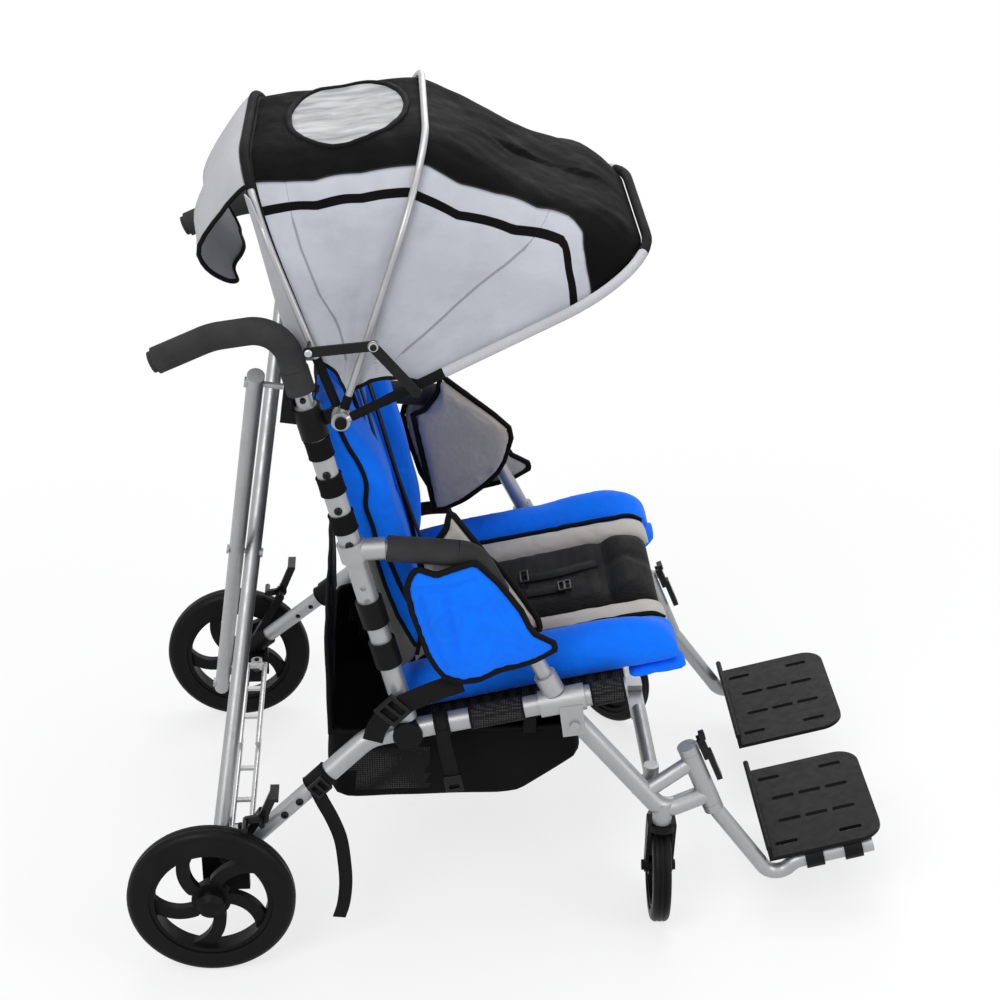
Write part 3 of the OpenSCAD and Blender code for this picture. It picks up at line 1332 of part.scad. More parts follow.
module seat_cushion_node() color(BLUE) right() seat_cushion();
module back_cushion_node() color(BLUE) right() back_cushion();
module side_pad_r_node() color(BLUE) right() side_pad();
module side_pad_l_node() color(BLUE) left() side_pad();
module basket_node() color(BLACK) right() hung_basket();

back_tube_r_node();  // back_tube_r
back_tube_l_node();  // back_tube_l
side_rail_r_node();  // side_rail_r
side_rail_l_node();  // side_rail_l
rear_leg_r_node();  // rear_leg_r
rear_leg_l_node();  // rear_leg_l
wheel_bracket_r_node();  // wheel_bracket_r
wheel_bracket_l_node();  // wheel_bracket_l
front_leg_r_node();  // front_leg_r
front_leg_l_node();  // front_leg_l
arm_tube_r_node();  // arm_tube_r
arm_tube_l_node();  // arm_tube_l
arm_foam_r_node();  // arm_foam_r
arm_foam_l_node();  // arm_foam_l
tube_sleeves_r_node();  // tube_sleeves_r
tube_sleeves_l_node();  // tube_sleeves_l
x_tube_a_node();  // x_tube_a
x_tube_b_node();  // x_tube_b
spreader_r_node();  // spreader_r
spreader_l_node();  // spreader_l
cross_tube_r_node();  // cross_tube_r
cross_tube_l_node();  // cross_tube_l
rear_rim_r_node();  // rear_rim_r
rear_rim_l_node();  // rear_rim_l
rear_tyre_r_node();  // rear_tyre_r
rear_tyre_l_node();  // rear_tyre_l
brake_lever_r_node();  // brake_lever_r
brake_lever_l_node();  // brake_lever_l
caster_fork_r_node();  // caster_fork_r
caster_fork_l_node();  // caster_fork_l
caster_hub_r_node();  // caster_hub_r
caster_hub_l_node();  // caster_hub_l
caster_tyre_r_node();  // caster_tyre_r
caster_tyre_l_node();  // caster_tyre_l
hanger_r_node();  // hanger_r
hanger_l_node();  // hanger_l
release_lever_r_node();  // release_lever_r
release_lever_l_node();  // release_lever_l
footplate_r_node();  // footplate_r
footplate_l_node();  // footplate_l
handle_tube_r_node();  // handle_tube_r
handle_tube_l_node();  // handle_tube_l
grip_r_node();  // grip_r
grip_l_node();  // grip_l
snap_button_r_node();  // snap_button_r
snap_button_l_node();  // snap_button_l
canopy_cloth_node();  // canopy_cloth
bow_rear_node();  // bow_rear
bow_mid_node();  // bow_mid
bow_front_node();  // bow_front
stay_rear_r_node();  // stay_rear_r
stay_rear_l_node();  // stay_rear_l
stay_front_r_node();  // stay_front_r
stay_front_l_node();  // stay_front_l
seat_sling_node();  // seat_sling
seat_cushion_node();  // seat_cushion
back_cushion_node();  // back_cushion
side_pad_r_node();  // side_pad_r
side_pad_l_node();  // side_pad_l
basket_node();  // basket
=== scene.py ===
import math

import bmesh
import bpy
import numpy as np
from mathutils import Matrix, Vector, noise
from mathutils.bvhtree import BVHTree


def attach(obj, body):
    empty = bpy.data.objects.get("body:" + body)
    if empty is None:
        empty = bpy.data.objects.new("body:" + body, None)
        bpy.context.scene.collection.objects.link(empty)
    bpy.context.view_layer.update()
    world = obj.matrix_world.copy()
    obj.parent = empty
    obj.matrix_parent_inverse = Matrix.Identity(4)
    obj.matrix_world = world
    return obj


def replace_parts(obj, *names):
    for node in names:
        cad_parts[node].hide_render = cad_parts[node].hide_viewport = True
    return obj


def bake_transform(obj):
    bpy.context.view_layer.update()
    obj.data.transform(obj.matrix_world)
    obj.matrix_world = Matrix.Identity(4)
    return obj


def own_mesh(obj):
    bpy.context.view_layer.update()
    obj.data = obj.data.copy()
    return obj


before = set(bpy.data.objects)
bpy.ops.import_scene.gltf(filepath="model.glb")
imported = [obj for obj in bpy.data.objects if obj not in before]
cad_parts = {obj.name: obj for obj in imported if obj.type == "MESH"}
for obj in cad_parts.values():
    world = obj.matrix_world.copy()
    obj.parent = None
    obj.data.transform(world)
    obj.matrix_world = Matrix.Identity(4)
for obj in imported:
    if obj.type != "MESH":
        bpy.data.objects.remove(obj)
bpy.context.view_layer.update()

# Places are written in millimetres from the rear axle, as in the part's source
MID_X = 415.07
MM = 0.001
HALF_WIDTH = 255.0
SEAT_TILT = math.radians(10.8)
BACK_LEAN = math.radians(14.2)
PIVOT = (277.0, 330.0)
HUB = (198.52, 803.2)
SIDES = (("r", -1, "right_side"), ("l", 1, "left_side"))


def at(x, y, z):
    """A point of the working frame, in metres in the row frame."""
    return Vector(((x - MID_X) * MM, y * MM, z * MM))


def on_seat(s, y, n):
    """A point s along the seat rails and n above them."""
    x = PIVOT[0] + s * math.cos(SEAT_TILT) - n * math.sin(SEAT_TILT)
    z = PIVOT[1] + s * math.sin(SEAT_TILT) + n * math.cos(SEAT_TILT)
    return at(x, y, z)


def on_back(s, y, out):
    """A point s up the back tubes and out ahead of them."""
    x = PIVOT[0] - s * math.sin(BACK_LEAN) + out * math.cos(BACK_LEAN)
    z = PIVOT[1] + s * math.cos(BACK_LEAN) + out * math.sin(BACK_LEAN)
    return at(x, y, z)


def on_hood(angle, r, y):
    """A point r from the hood's hub, at an angle ahead of upright in degrees."""
    a = math.radians(angle)
    return at(HUB[0] + r * math.sin(a), y, HUB[1] + r * math.cos(a))


def lerp(a, b, t):
    return a + (b - a) * t


def smooth(t):
    t = min(max(t, 0.0), 1.0)
    return t * t * (3 - 2 * t)


# Camera at the photograph's place
LENS, SENSOR = 77.4, 36.0
CAMERA_AT, CAMERA_PITCH, CAMERA_YAW = (273, -2738, 1917), 63.46, -2.91
camera = bpy.data.objects.new("camera", bpy.data.cameras.new("camera"))
bpy.context.scene.collection.objects.link(camera)
camera.data.lens = LENS
camera.data.sensor_width = SENSOR
camera.location = at(*CAMERA_AT)
camera.rotation_euler = (math.radians(CAMERA_PITCH), 0, math.radians(CAMERA_YAW))
bpy.context.scene.camera = camera

# Materials
SHEEN_ROUGH, COAT_ROUGH = 0.4, 0.2


class Finish:
    """A procedural material. Its colour, roughness and bump come from textures in the object's own space."""

    def __init__(self, name, metal=0.0, sheen=0.0, coat=0.0, rest=False, specular=0.5):
        self.mat = bpy.data.materials.new(name)
        self.mat.use_nodes = True
        self.nodes = self.mat.node_tree.nodes
        self.links = self.mat.node_tree.links
        self.bsdf = self.nodes["Principled BSDF"]
        constants = {"Metallic": metal, "Specular IOR Level": specular}
        constants |= {"Sheen Weight": sheen, "Sheen Roughness": SHEEN_ROUGH}
        constants |= {"Coat Weight": coat, "Coat Roughness": COAT_ROUGH}
        for key, value in constants.items():
            self.bsdf.inputs[key].default_value = value
        self.place = self.attribute("rest", "Vector") if rest else self.node("TexCoord").outputs["Object"]
        self.normal = None

    def node(self, kind, inputs=None, **props):
        made = self.nodes.new("ShaderNode" + kind)
        for key, value in props.items():
            setattr(made, key, value)
        for key, value in (inputs or {}).items():
            if isinstance(value, bpy.types.NodeSocket):
                self.links.new(value, made.inputs[key])
            else:
                made.inputs[key].default_value = value
        return made

    def attribute(self, name, output):
        return self.node("Attribute", attribute_name=name).outputs[output]

    def stretched(self, scale):
        return self.node("Mapping", {"Vector": self.place, "Scale": scale}).outputs["Vector"]

    def noise(self, size, detail=4.0, stretch=None):
        where = self.stretched(stretch) if stretch else self.place
        inputs = {"Vector": where, "Scale": 1 / size, "Detail": detail, "Roughness": 0.55}
        return self.node("TexNoise", inputs).outputs["Fac"]

    def math(self, how, a, b):
        return self.node("Math", {0: a, 1: b}, operation=how).outputs[0]

    def ramp(self, fac, stops):
        made = self.node("ValToRGB", {"Fac": fac})
        ends = made.color_ramp.elements
        while len(ends) < len(stops):
            ends.new(0.5)
        for end, (place, colour) in zip(ends, stops):
            end.position = place
            end.color = (*colour, 1)
        return made.outputs["Color"]

    def tones(self, fac, colour, low, high):
        """A colour that a texture makes darker and lighter."""
        return self.ramp(fac, [(0.3, shade(colour, low)), (0.7, shade(colour, high))])

    def spread(self, fac, low, high, start=0.3, stop=0.7):
        inputs = {"Value": fac, "From Min": start, "From Max": stop, "To Min": low, "To Max": high}
        return self.node("MapRange", inputs).outputs["Result"]

    def mix(self, fac, a, b):
        made = self.node("Mix", data_type="RGBA")
        for index, value in ((0, fac), (6, a), (7, b)):
            if isinstance(value, bpy.types.NodeSocket):
                self.links.new(value, made.inputs[index])
            else:
                made.inputs[index].default_value = value if index == 0 else (*value, 1)
        return made.outputs[2]

    def threads(self, period):
        """Crossing threads: bands along the three axes, summed."""
        total = None
        for axis in "XYZ":
            inputs = {"Vector": self.place, "Scale": 0.31416 / period, "Distortion": 0.6, "Detail": 1.0}
            band = self.node("TexWave", inputs, bands_direction=axis).outputs["Fac"]
            total = band if total is None else self.math("ADD", total, band)
        return self.math("DIVIDE", total, 3.0)

    def holes(self, period):
        """A net of round holes, 0 in a hole and 1 on the thread."""
        inputs = {"Vector": self.place, "Scale": 1 / period, "Randomness": 0.12}
        cell = self.node("TexVoronoi", inputs).outputs["Distance"]
        return self.spread(cell, 0.0, 1.0, 0.28, 0.46)

    def bump(self, height, depth, strength=1.0):
        inputs = {"Height": height, "Distance": depth, "Strength": strength}
        if self.normal is not None:
            inputs["Normal"] = self.normal
        self.normal = self.node("Bump", inputs).outputs["Normal"]

    def close(self, colour, rough):
        for key, value in (("Base Color", colour), ("Roughness", rough), ("Normal", self.normal)):
            if value is not None:
                self.links.new(value, self.bsdf.inputs[key])
        return self.mat


def shade(colour, factor):
    return tuple(min(c * factor, 1.0) for c in colour)


WEAR_PATCH, WEAVE, DYE_SPREAD, NET_PERIOD, RIB_PERIOD, PORES = 0.05, 0.0007, 0.08, 0.0034, 0.0016, 900.0


def hard(name, colour, rough, depth, spread, metal=0.0, coat=0.0, grain=0.0012, specular=0.5):
    """Paint, metal, moulded plastic or rubber: broad patches, a fine grain and rubbed spots."""
    f = Finish(name, metal=metal, coat=coat, specular=specular)
    broad = f.noise(WEAR_PATCH, 5.0)
    fine = f.noise(grain, 3.0)
    scuff = f.noise(WEAR_PATCH * 0.22, 8.0, (1.0, 1.0, 0.35))
    base = f.tones(broad, colour, 1 - spread, 1 + spread)
    base = f.mix(f.spread(scuff, 0.0, 0.3, 0.62, 0.75), base, shade(colour, 1.35))
    f.bump(fine, depth)
    f.bump(scuff, depth * 1.5, 0.4)
    return f.close(base, f.spread(scuff, *rough))


def fabric(name, colour, sheen=0.1, rough=(0.72, 0.88), rest=False, crease=0.0012, specular=0.25):
    """Woven cloth: threads in colour and bump, soft creases and uneven dye."""
    f = Finish(name, sheen=sheen, rest=rest, specular=specular)
    weave = f.threads(WEAVE)
    broad = f.noise(0.06, 4.0)
    base = f.tones(broad, colour, 1 - DYE_SPREAD, 1 + DYE_SPREAD)
    base = f.mix(f.spread(weave, 0.22, 0.0), base, shade(colour, 0.6))
    f.bump(f.noise(0.035, 3.0, (1.0, 0.45, 1.0)), crease)
    f.bump(weave, WEAVE * 0.16)
    return f.close(base, f.spread(broad, *rough))


def netting(name, colour, gap):
    """Knitted mesh: a net of threads over dark or pale gaps."""
    f = Finish(name, rest=True, specular=DULL)
    threads = f.holes(NET_PERIOD)
    patch = f.noise(0.05, 4.0)
    f.bump(threads, NET_PERIOD * 0.14)
    f.bump(f.noise(0.03, 3.0), 0.0012)
    return f.close(f.mix(threads, gap, f.tones(patch, colour, 0.85, 1.15)), f.spread(patch, 0.6, 0.8))


def webbing(name, colour):
    """Woven strap: ribs across it and a soft wear."""
    f = Finish(name, specular=DULL)
    rib = f.threads(RIB_PERIOD)
    patch = f.noise(0.03, 5.0)
    base = f.mix(f.spread(rib, 0.3, 0.0), f.tones(patch, colour, 0.8, 1.3), shade(colour, 0.4))
    f.bump(rib, RIB_PERIOD * 0.25)
    return f.close(base, f.spread(patch, 0.6, 0.78))


def porous(name, colour):
    """Foam rubber skin with fine pores."""
    f = Finish(name, sheen=0.02, specular=DULL)
    pore = f.node("TexVoronoi", {"Vector": f.place, "Scale": PORES, "Randomness": 1.0}).outputs["Distance"]
    patch = f.noise(0.04, 4.0)
    base = f.mix(f.spread(pore, 0.35, 0.0, 0.1, 0.4), f.tones(patch, colour, 0.8, 1.25), shade(colour, 0.35))
    f.bump(pore, 0.00022)
    f.bump(patch, 0.0006, 0.5)
    return f.close(base, f.spread(patch, 0.78, 0.92))


BLUE = (0.001, 0.165, 0.95)
GREY = (0.44, 0.415, 0.38)
HOOD_GREY, HEM_GREY = (0.43, 0.44, 0.485), (0.46, 0.46, 0.485)
# Painted shade: the back wings' grey satin darkened to a charcoal tone where shade falls on their lower
# outer part
PAINTED_SHADE_GREY, FOAM = (0.13, 0.127, 0.122), (0.034, 0.034, 0.035)
BLACK, SOFT_BLACK, NET_GAP = (0.006, 0.006, 0.0065), (0.007, 0.007, 0.0075), (0.05, 0.05, 0.052)
SILVER, STEEL = (0.36, 0.363, 0.37), (0.5, 0.5, 0.505)
DULL, LOW_GLOSS = 0.1, 0.2
SATIN = {"rest": True, "specular": 0.35}

silver = hard("silver_paint", SILVER, (0.34, 0.5), 0.00003, 0.05, metal=0.65, coat=0.12)
steel = hard("bright_steel", STEEL, (0.24, 0.38), 0.00002, 0.05, metal=0.9)
plastic = hard("black_plastic", BLACK, (0.36, 0.52), 0.0001, 0.25, specular=0.09)
gloss = hard("black_gloss", shade(BLACK, 0.9), (0.22, 0.36), 0.00005, 0.2, specular=LOW_GLOSS)
rubber = hard("tyre_rubber", shade(BLACK, 0.85), (0.34, 0.5), 0.00012, 0.2, grain=0.002, specular=DULL)
foam = porous("grip_foam", FOAM)
blue = fabric("blue_cloth", BLUE, rest=True, crease=0.004, specular=0.15)
grey = fabric("grey_cloth", GREY, sheen=0.12, rough=(0.45, 0.65), crease=0.0035, **SATIN)
black = fabric("black_cloth", SOFT_BLACK, rest=True, sheen=0.0, specular=0.045)
# Grey satin darkened as painted shade, for the lower outer part of the back wings
painted_shade_satin = fabric("grey_satin_painted_shade", PAINTED_SHADE_GREY, sheen=0.1, rough=(0.45, 0.62), crease=0.003, **SATIN)
piping = fabric("black_piping", shade(BLACK, 0.9), sheen=0.0, crease=0.0003, specular=DULL)
strap = webbing("black_webbing", shade(BLACK, 1.1))
net = netting("black_net", shade(SOFT_BLACK, 1.2), NET_GAP)
spacer = netting("seat_net", shade(SOFT_BLACK, 1.25), shade(SOFT_BLACK, 0.35))
hem = fabric("grey_hem", HEM_GREY, crease=0.0004)


# Mesh builders, with sizes in millimetres and points in metres
SHARP, CLOTH_SHARP, BUCKLE_SHARP, FRAME_SHARP = 50, 60, 40, 28


def soften(obj, sharp=SHARP):
    """Smooth shading, except over edges sharper than an angle in degrees."""
    obj.data.shade_smooth()
    obj.data.set_sharp_from_angle(angle=math.radians(sharp))
    return obj


def piece(name, verts, faces, finish):
    mesh = bpy.data.meshes.new(name)
    mesh.from_pydata([tuple(v) for v in verts], [], faces)
    mesh.validate()
    mesh.update()
    made = bpy.data.objects.new(name, mesh)
    bpy.context.scene.collection.objects.link(made)
    mesh.materials.append(finish)
    return soften(made)


def modifier(obj, kind, **props):
    made = obj.modifiers.new(kind.lower(), kind)
    for key, value in props.items():
        setattr(made, key, value)
    return made


def settle(obj):
    """Applies an object's modifiers to its mesh."""
    view = bpy.context.evaluated_depsgraph_get()
    mesh = bpy.data.meshes.new_from_object(obj.evaluated_get(view), depsgraph=view)
    old = obj.data
    obj.modifiers.clear()
    obj.data = mesh
    bpy.data.meshes.remove(old)
    return obj


def keep_rest(obj):
    """Stores each point's place at rest, so that a weave stays on the cloth as it moves."""
    points = np.array([v.co for v in obj.data.vertices], np.float32)
    slot = obj.data.attributes.get("rest") or obj.data.attributes.new("rest", "FLOAT_VECTOR", "POINT")
    slot.data.foreach_set("vector", points.ravel())
    return obj


def laid(obj, body=None):
    """Keeps a piece's rest places, and lets it ride on a body."""
    keep_rest(obj)
    if body:
        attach(obj, body)
    return obj


def paint(obj, finish, test):
    """Gives the faces that pass a test another finish."""
    obj.data.materials.append(finish)
    index = len(obj.data.materials) - 1
    for face in obj.data.polygons:
        if test(face):
            face.material_index = index


def quads(rows, columns, wrap=False):
    faces = []
    for a in range(0, (rows - 1) * columns, columns):
        b = a + columns
        for j in range(columns if wrap else columns - 1):
            k = (j + 1) % columns
            faces.append((a + j, a + k, b + k, b + j))
    return faces


def shut_tube(count, sides):
    """Faces of a tube of rings, with both ends shut."""
    last = (count - 1) * sides
    return quads(count, sides, wrap=True) + [tuple(reversed(range(sides))), tuple(range(last, last + sides))]


def ring(centre, x, y, radius, sides):
    """Points round a circle, in metres."""
    turns = [2 * math.pi * k / sides for k in range(sides)]
    return [centre + (x * math.cos(turn) + y * math.sin(turn)) * radius for turn in turns]


def grid(rows, columns, point):
    """Rows of the points point(u, v), with u and v from 0 to 1."""
    return [[point(i / (rows - 1), j / (columns - 1)) for j in range(columns)] for i in range(rows)]


def thicken(obj, thickness, sharp=SHARP):
    """Thickens a sheet on both sides."""
    modifier(obj, "SOLIDIFY", thickness=thickness * MM, offset=0.0)
    return soften(settle(obj), sharp)


def sheet_solid(name, rows, finish, thickness):
    """A thickened sheet through rows of points."""
    made = piece(name, [p for row in rows for p in row], quads(len(rows), len(rows[0])), finish)
    return keep_rest(thicken(made, thickness))


def three_edges(rows):
    """The rim of a sheet, without its first row."""
    return [row[0] for row in rows] + rows[-1][1:-1] + [row[-1] for row in reversed(rows)]


def steps_of(points):
    return np.cumsum([0] + [(b - a).length for a, b in zip(points, points[1:])])


def reach_of(points):
    return sum((b - a).length for a, b in zip(points, points[1:]))


def eased(points, steps):
    """A smooth line through points, by Catmull-Rom."""
    pts = [Vector(p) for p in points]
    pts = [2 * pts[0] - pts[1]] + pts + [2 * pts[-1] - pts[-2]]
    out = []
    for i in range(1, len(pts) - 2):
        a, b, c, d = pts[i - 1 : i + 3]
        square, cube = 2 * a - 5 * b + 4 * c - d, 3 * b - a - 3 * c + d
        for k in range(steps):
            t = k / steps
            out.append(0.5 * (2 * b + (c - a) * t + square * t * t + cube * t**3))
    return out + [pts[-2]]


OFF_AXIS = Vector((0.31, 0.17, 0.93))
RIBBON_RING = ((-1, -0.5), (-0.96, -1), (0.96, -1), (1, -0.5), (1, 0.5), (0.96, 1), (-0.96, 1), (-1, 0.5))
CAP_SIDES, BUCKLE_BEVEL = 20, 1.2


def tube(name, points, radius, finish, body=None, sides=10, closed=False):
    """A round cord or rod along points."""
    pts = [Vector(p) for p in points]
    count = len(pts)
    up = OFF_AXIS
    verts = []
    for i, p in enumerate(pts):
        before = pts[i - 1] if closed or i else p
        after = pts[(i + 1) % count] if closed or i < count - 1 else p
        along = (after - before).normalized()
        across = along.cross(up).normalized()
        up = across.cross(along).normalized()
        verts += ring(p, across, up, radius * MM, sides)
    if closed:
        last = (count - 1) * sides
        faces = quads(count, sides, wrap=True)
        faces += [(last + k, last + (k + 1) % sides, (k + 1) % sides, k) for k in range(sides)]
    else:
        faces = shut_tube(count, sides)
    return laid(piece(name, verts, faces, finish), body)


def ribbon(name, points, look, width, thickness, body=None):
    """A flat strap along points, with its face towards a direction."""
    pts = [Vector(p) for p in points]
    across_half, out_half = width * MM / 2, thickness * MM / 2
    verts = []
    for i, p in enumerate(pts):
        along = (pts[min(i + 1, len(pts) - 1)] - pts[max(i - 1, 0)]).normalized()
        across = along.cross(Vector(look)).normalized()
        out = across.cross(along).normalized()
        verts += [p + across * (a * across_half) + out * (b * out_half) for a, b in RIBBON_RING]
    return laid(piece(name, verts, shut_tube(len(pts), len(RIBBON_RING)), strap), body)


def buckle(name, centre, size, axes, body, holes):
    """A moulded block in its own axes, with round edges and rectangular windows through it."""
    x, y, z = (Vector(a).normalized() for a in axes)
    half = [s * MM / 2 for s in size]
    holes = [[e * MM for e in h] for h in holes]
    spans = sorted({-half[0], half[0], *[e for h in holes for e in h[:2]]})
    rows = sorted({-half[1], half[1], *[e for h in holes for e in h[2:]]})

    def solid(i, j):
        mid = ((spans[i] + spans[i + 1]) / 2, (rows[j] + rows[j + 1]) / 2)
        return not any(h[0] < mid[0] < h[1] and h[2] < mid[1] < h[3] for h in holes)

    cells = {(i, j) for i in range(len(spans) - 1) for j in range(len(rows) - 1) if solid(i, j)}
    index, verts, faces = {}, [], []

    def vertex(i, j, k):
        if (i, j, k) not in index:
            index[i, j, k] = len(verts)
            verts.append(Vector(centre) + x * spans[i] + y * rows[j] + z * (half[2] if k else -half[2]))
        return index[i, j, k]

    for i, j in sorted(cells):
        corners = [(i, j), (i + 1, j), (i + 1, j + 1), (i, j + 1)]
        faces.append([vertex(*c, 1) for c in corners])
        faces.append([vertex(*c, 0) for c in reversed(corners)])
        sides = [((i, j - 1), 0, 1), ((i + 1, j), 1, 2), ((i, j + 1), 2, 3), ((i - 1, j), 3, 0)]
        for beside, a, b in sides:
            if beside not in cells:
                ends = [(*corners[b], 1), (*corners[a], 1), (*corners[a], 0), (*corners[b], 0)]
                faces.append([vertex(*end) for end in ends])
    made = piece(name, verts, faces, gloss)
    modifier(made, "BEVEL", width=BUCKLE_BEVEL * MM, segments=3, limit_method="ANGLE")
    return laid(soften(settle(made), BUCKLE_SHARP), body)


def round_cap(name, centre, axis, radius, height, finish, body, dent=0.35):
    """A bolt head or button: a turned dome with a recess in it."""
    outline = [(1.0, 0.0), (1.0, 0.45), (0.9, 0.75), (0.7, 0.95)]
    outline += [(dent + 0.12, 1.0), (dent, 0.92), (dent * 0.85, 0.5)]
    z = Vector(axis).normalized()
    x = z.orthogonal().normalized()
    y = z.cross(x)
    verts = []
    for r, h in outline:
        verts += ring(centre + z * h * height * MM, x, y, r * radius * MM, CAP_SIDES)
    return laid(piece(name, verts, shut_tube(len(outline), CAP_SIDES), finish), body)


CLOTH = {
    "quality": 4, "mass": 0.25, "use_pressure": True, "uniform_pressure_force": 4.0,
    "tension_stiffness": 18, "compression_stiffness": 12, "bending_stiffness": 0.35,
}
CLOTH_FRAMES = 20


def puffed(obj, voxel, cap):
    """Blows a closed form up as cloth, holds each point within cap of its start, and smooths it."""
    modifier(obj, "REMESH", mode="VOXEL", voxel_size=voxel * MM, use_smooth_shade=True)
    settle(obj)
    start = np.array([v.co for v in obj.data.vertices])
    cloth = modifier(obj, "CLOTH")
    for key, value in CLOTH.items():
        setattr(cloth.settings, key, value)
    cloth.settings.effector_weights.gravity = 0.0
    cloth.point_cache.frame_start = 1
    cloth.point_cache.frame_end = CLOTH_FRAMES
    for step in range(1, CLOTH_FRAMES + 1):
        bpy.context.scene.frame_set(step)
    view = bpy.context.evaluated_depsgraph_get()
    done = np.array([v.co for v in obj.evaluated_get(view).data.vertices])
    obj.modifiers.clear()
    bpy.context.scene.frame_set(1)
    move = done - start
    size = np.linalg.norm(move, axis=1, keepdims=True)
    move *= np.minimum(1.0, cap * MM / np.maximum(size, 1e-9))
    obj.data.vertices.foreach_set("co", (start + move).ravel())
    obj.data.update()
    modifier(obj, "SUBSURF", levels=1, render_levels=1)
    settle(obj)
    obj.data.shade_smooth()
    return keep_rest(obj)


def fold_with_frame(obj):
    """Soft pieces between the two sides ride on the right side."""
    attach(obj, "right_side")
    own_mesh(obj)
    return obj


def piped(name, points, radius, closed=False):
    """Piping that rides on the right side."""
    return fold_with_frame(tube(name, points, radius, piping, closed=closed))


PIPE_R = {
    "window": 4.2, "hem": 2.6, "rear hem": 2.4, "curtain": 3.2, "back seam": 3.4, "back edge": 3.2,
    "back side": 2.8, "side pad": 4.3, "basket rim": 3.4, "basket back": 3.0,
}


# Hood: one curved sheet drawn over three hoops
HOOD_STATIONS = [
    (-20.5, 325, 75), (0, 320.1, 42), (19.1, 348, 26), (31, 353.6, 36), (41, 356.9, 56),
    (51, 380.3, 80), (58, 422.5, 92), (65.5, 434, 110),
]
HOOD_BOWS = (-20.5, 19.1, 65.5)
BOW_REAR_H, BOW_DRAW, BOW_CORNER, BOW_RADIUS = 325, 34, 140, 4.5
HOOD_INSET = 6.6
HOOD_EDGE = [
    (-20.5, 296), (-12.5, 288), (-5, 284), (6.5, 294), (18, 315), (20.5, 320), (23.5, 319), (29, 318),
    (37.5, 329), (46.5, 348), (53, 374), (55.5, 376), (59.5, 360), (65.5, 346),
]
HOOD_TAPE = [
    (-20.5, 267), (-5, 260), (7, 270), (18.5, 290), (22, 289), (31.5, 289), (44.5, 314), (52.5, 346),
    (54, 352), (58.5, 338), (65.5, 322),
]
HOOD_SEAMS = (
    [(71, 7), (153, -8), (212, -11.5), (246, -12)],
    [(108, 44.5), (156, 46), (239, 47), (312, 49)],
)
WINDOW_AT, WINDOW_SIZE = (2.2, 0.0), (13.6, 136.0)
HOOD_HALF, HOOD_WIDENS, HOOD_MIDDLE, HOOD_ROUND, CORNER_STEPS = 263, 17.3, 260, 4.0, 16
CLOTH_THICK = 1.6
SAG_FREE, SAG_MEAN, SAG_CREASE, SAG_SMALL, SAG_SIDE_SHARE = 9.0, 3.6, 5.5, 2.6, 0.6
LINE_STEPS, SEAM_LINE_STEPS = 120, 30


def table(pairs, place, column=1):
    return float(np.interp(place, [p[0] for p in pairs], [p[column] for p in pairs]))


def hood_size(angle, column):
    """The hood's height or hem at an angle, rounded off except over a hoop."""
    near = min(min(abs(angle - b) for b in HOOD_BOWS), HOOD_ROUND)
    spots = [angle + near * k / 3 for k in (-2, -1, 0, 1, 2)]
    return sum(table(HOOD_STATIONS, a, column) for a in spots) / len(spots)


def hood_half(angle):
    return HOOD_HALF + (angle - HOOD_BOWS[0]) / (HOOD_BOWS[2] - HOOD_BOWS[0]) * HOOD_WIDENS


def hood_line(angle, inset, count, low=None):
    """Points (y, r) across the hood at an angle, from the right hem to the left hem, evenly spaced."""
    h, half = hood_size(angle, 1), hood_half(angle)
    low = hood_size(angle, 2) if low is None else low
    up = Vector((-BOW_DRAW, h)).normalized()
    flat = Vector((-1.0, 0.0))
    inward = (flat - up * up.dot(flat)).normalized()
    turn = math.acos(up.dot(flat))
    start = Vector((half - BOW_DRAW, h)) - up * BOW_CORNER * math.tan(turn / 2)
    middle = start + inward * BOW_CORNER
    side = [Vector((half, 0)) + inward * inset + up * low, start + inward * inset]
    for k in range(1, CORNER_STEPS + 1):
        t = turn * k / CORNER_STEPS
        side.append(middle + (up * math.sin(t) - inward * math.cos(t)) * (BOW_CORNER - inset))
    whole = [Vector((-p.x, p.y)) for p in side] + [Vector((0, h - inset))] + list(reversed(side))
    steps = steps_of(whole)
    spots = np.linspace(0, steps[-1], count)
    ys, rs = (np.interp(spots, steps, [p[k] for p in whole]) for k in (0, 1))
    return list(zip(ys.tolist(), rs.tolist()))


def hood_sag(angle, y, r):
    """How far the cloth hangs in from its hoops, with creases that run from hoop to hoop."""
    free = min(min(abs(angle - b) for b in HOOD_BOWS) / SAG_FREE, 1.0)
    side = 1 if y < 0 else 2
    crease = noise.noise(Vector((angle * 0.055 + r * 0.006, r * 0.02, side * 3.7 + y * 0.004)))
    small = noise.noise(Vector((angle * 0.16, r * 0.035 + y * 0.03, 9.1)))
    return smooth(free) * (SAG_MEAN + SAG_CREASE * crease + SAG_SMALL * small)


def side_place(angle, r):
    """A place of the hood's side, seen square on."""
    a = math.radians(angle)
    return Vector((r * math.sin(a), r * math.cos(a)))


def off_line(p, ends):
    """How far a place lies from a line through places."""
    best = 1e9
    for a, b in zip(ends, ends[1:]):
        along = b - a
        share = min(max((p - a).dot(along) / along.length_squared, 0.0), 1.0)
        best = min(best, (p - a - along * share).length)
    return best


def along_angles(pairs):
    return [side_place(a, table(pairs, a)) for a in np.linspace(pairs[0][0], pairs[-1][0], LINE_STEPS)]


def along_radii(pairs):
    return [side_place(table(pairs, r), r) for r in np.linspace(pairs[0][0], pairs[-1][0], SEAM_LINE_STEPS)]


edge_ends, tape_ends = along_angles(HOOD_EDGE), along_angles(HOOD_TAPE)
seam_ends = [along_radii(seam) for seam in HOOD_SEAMS]


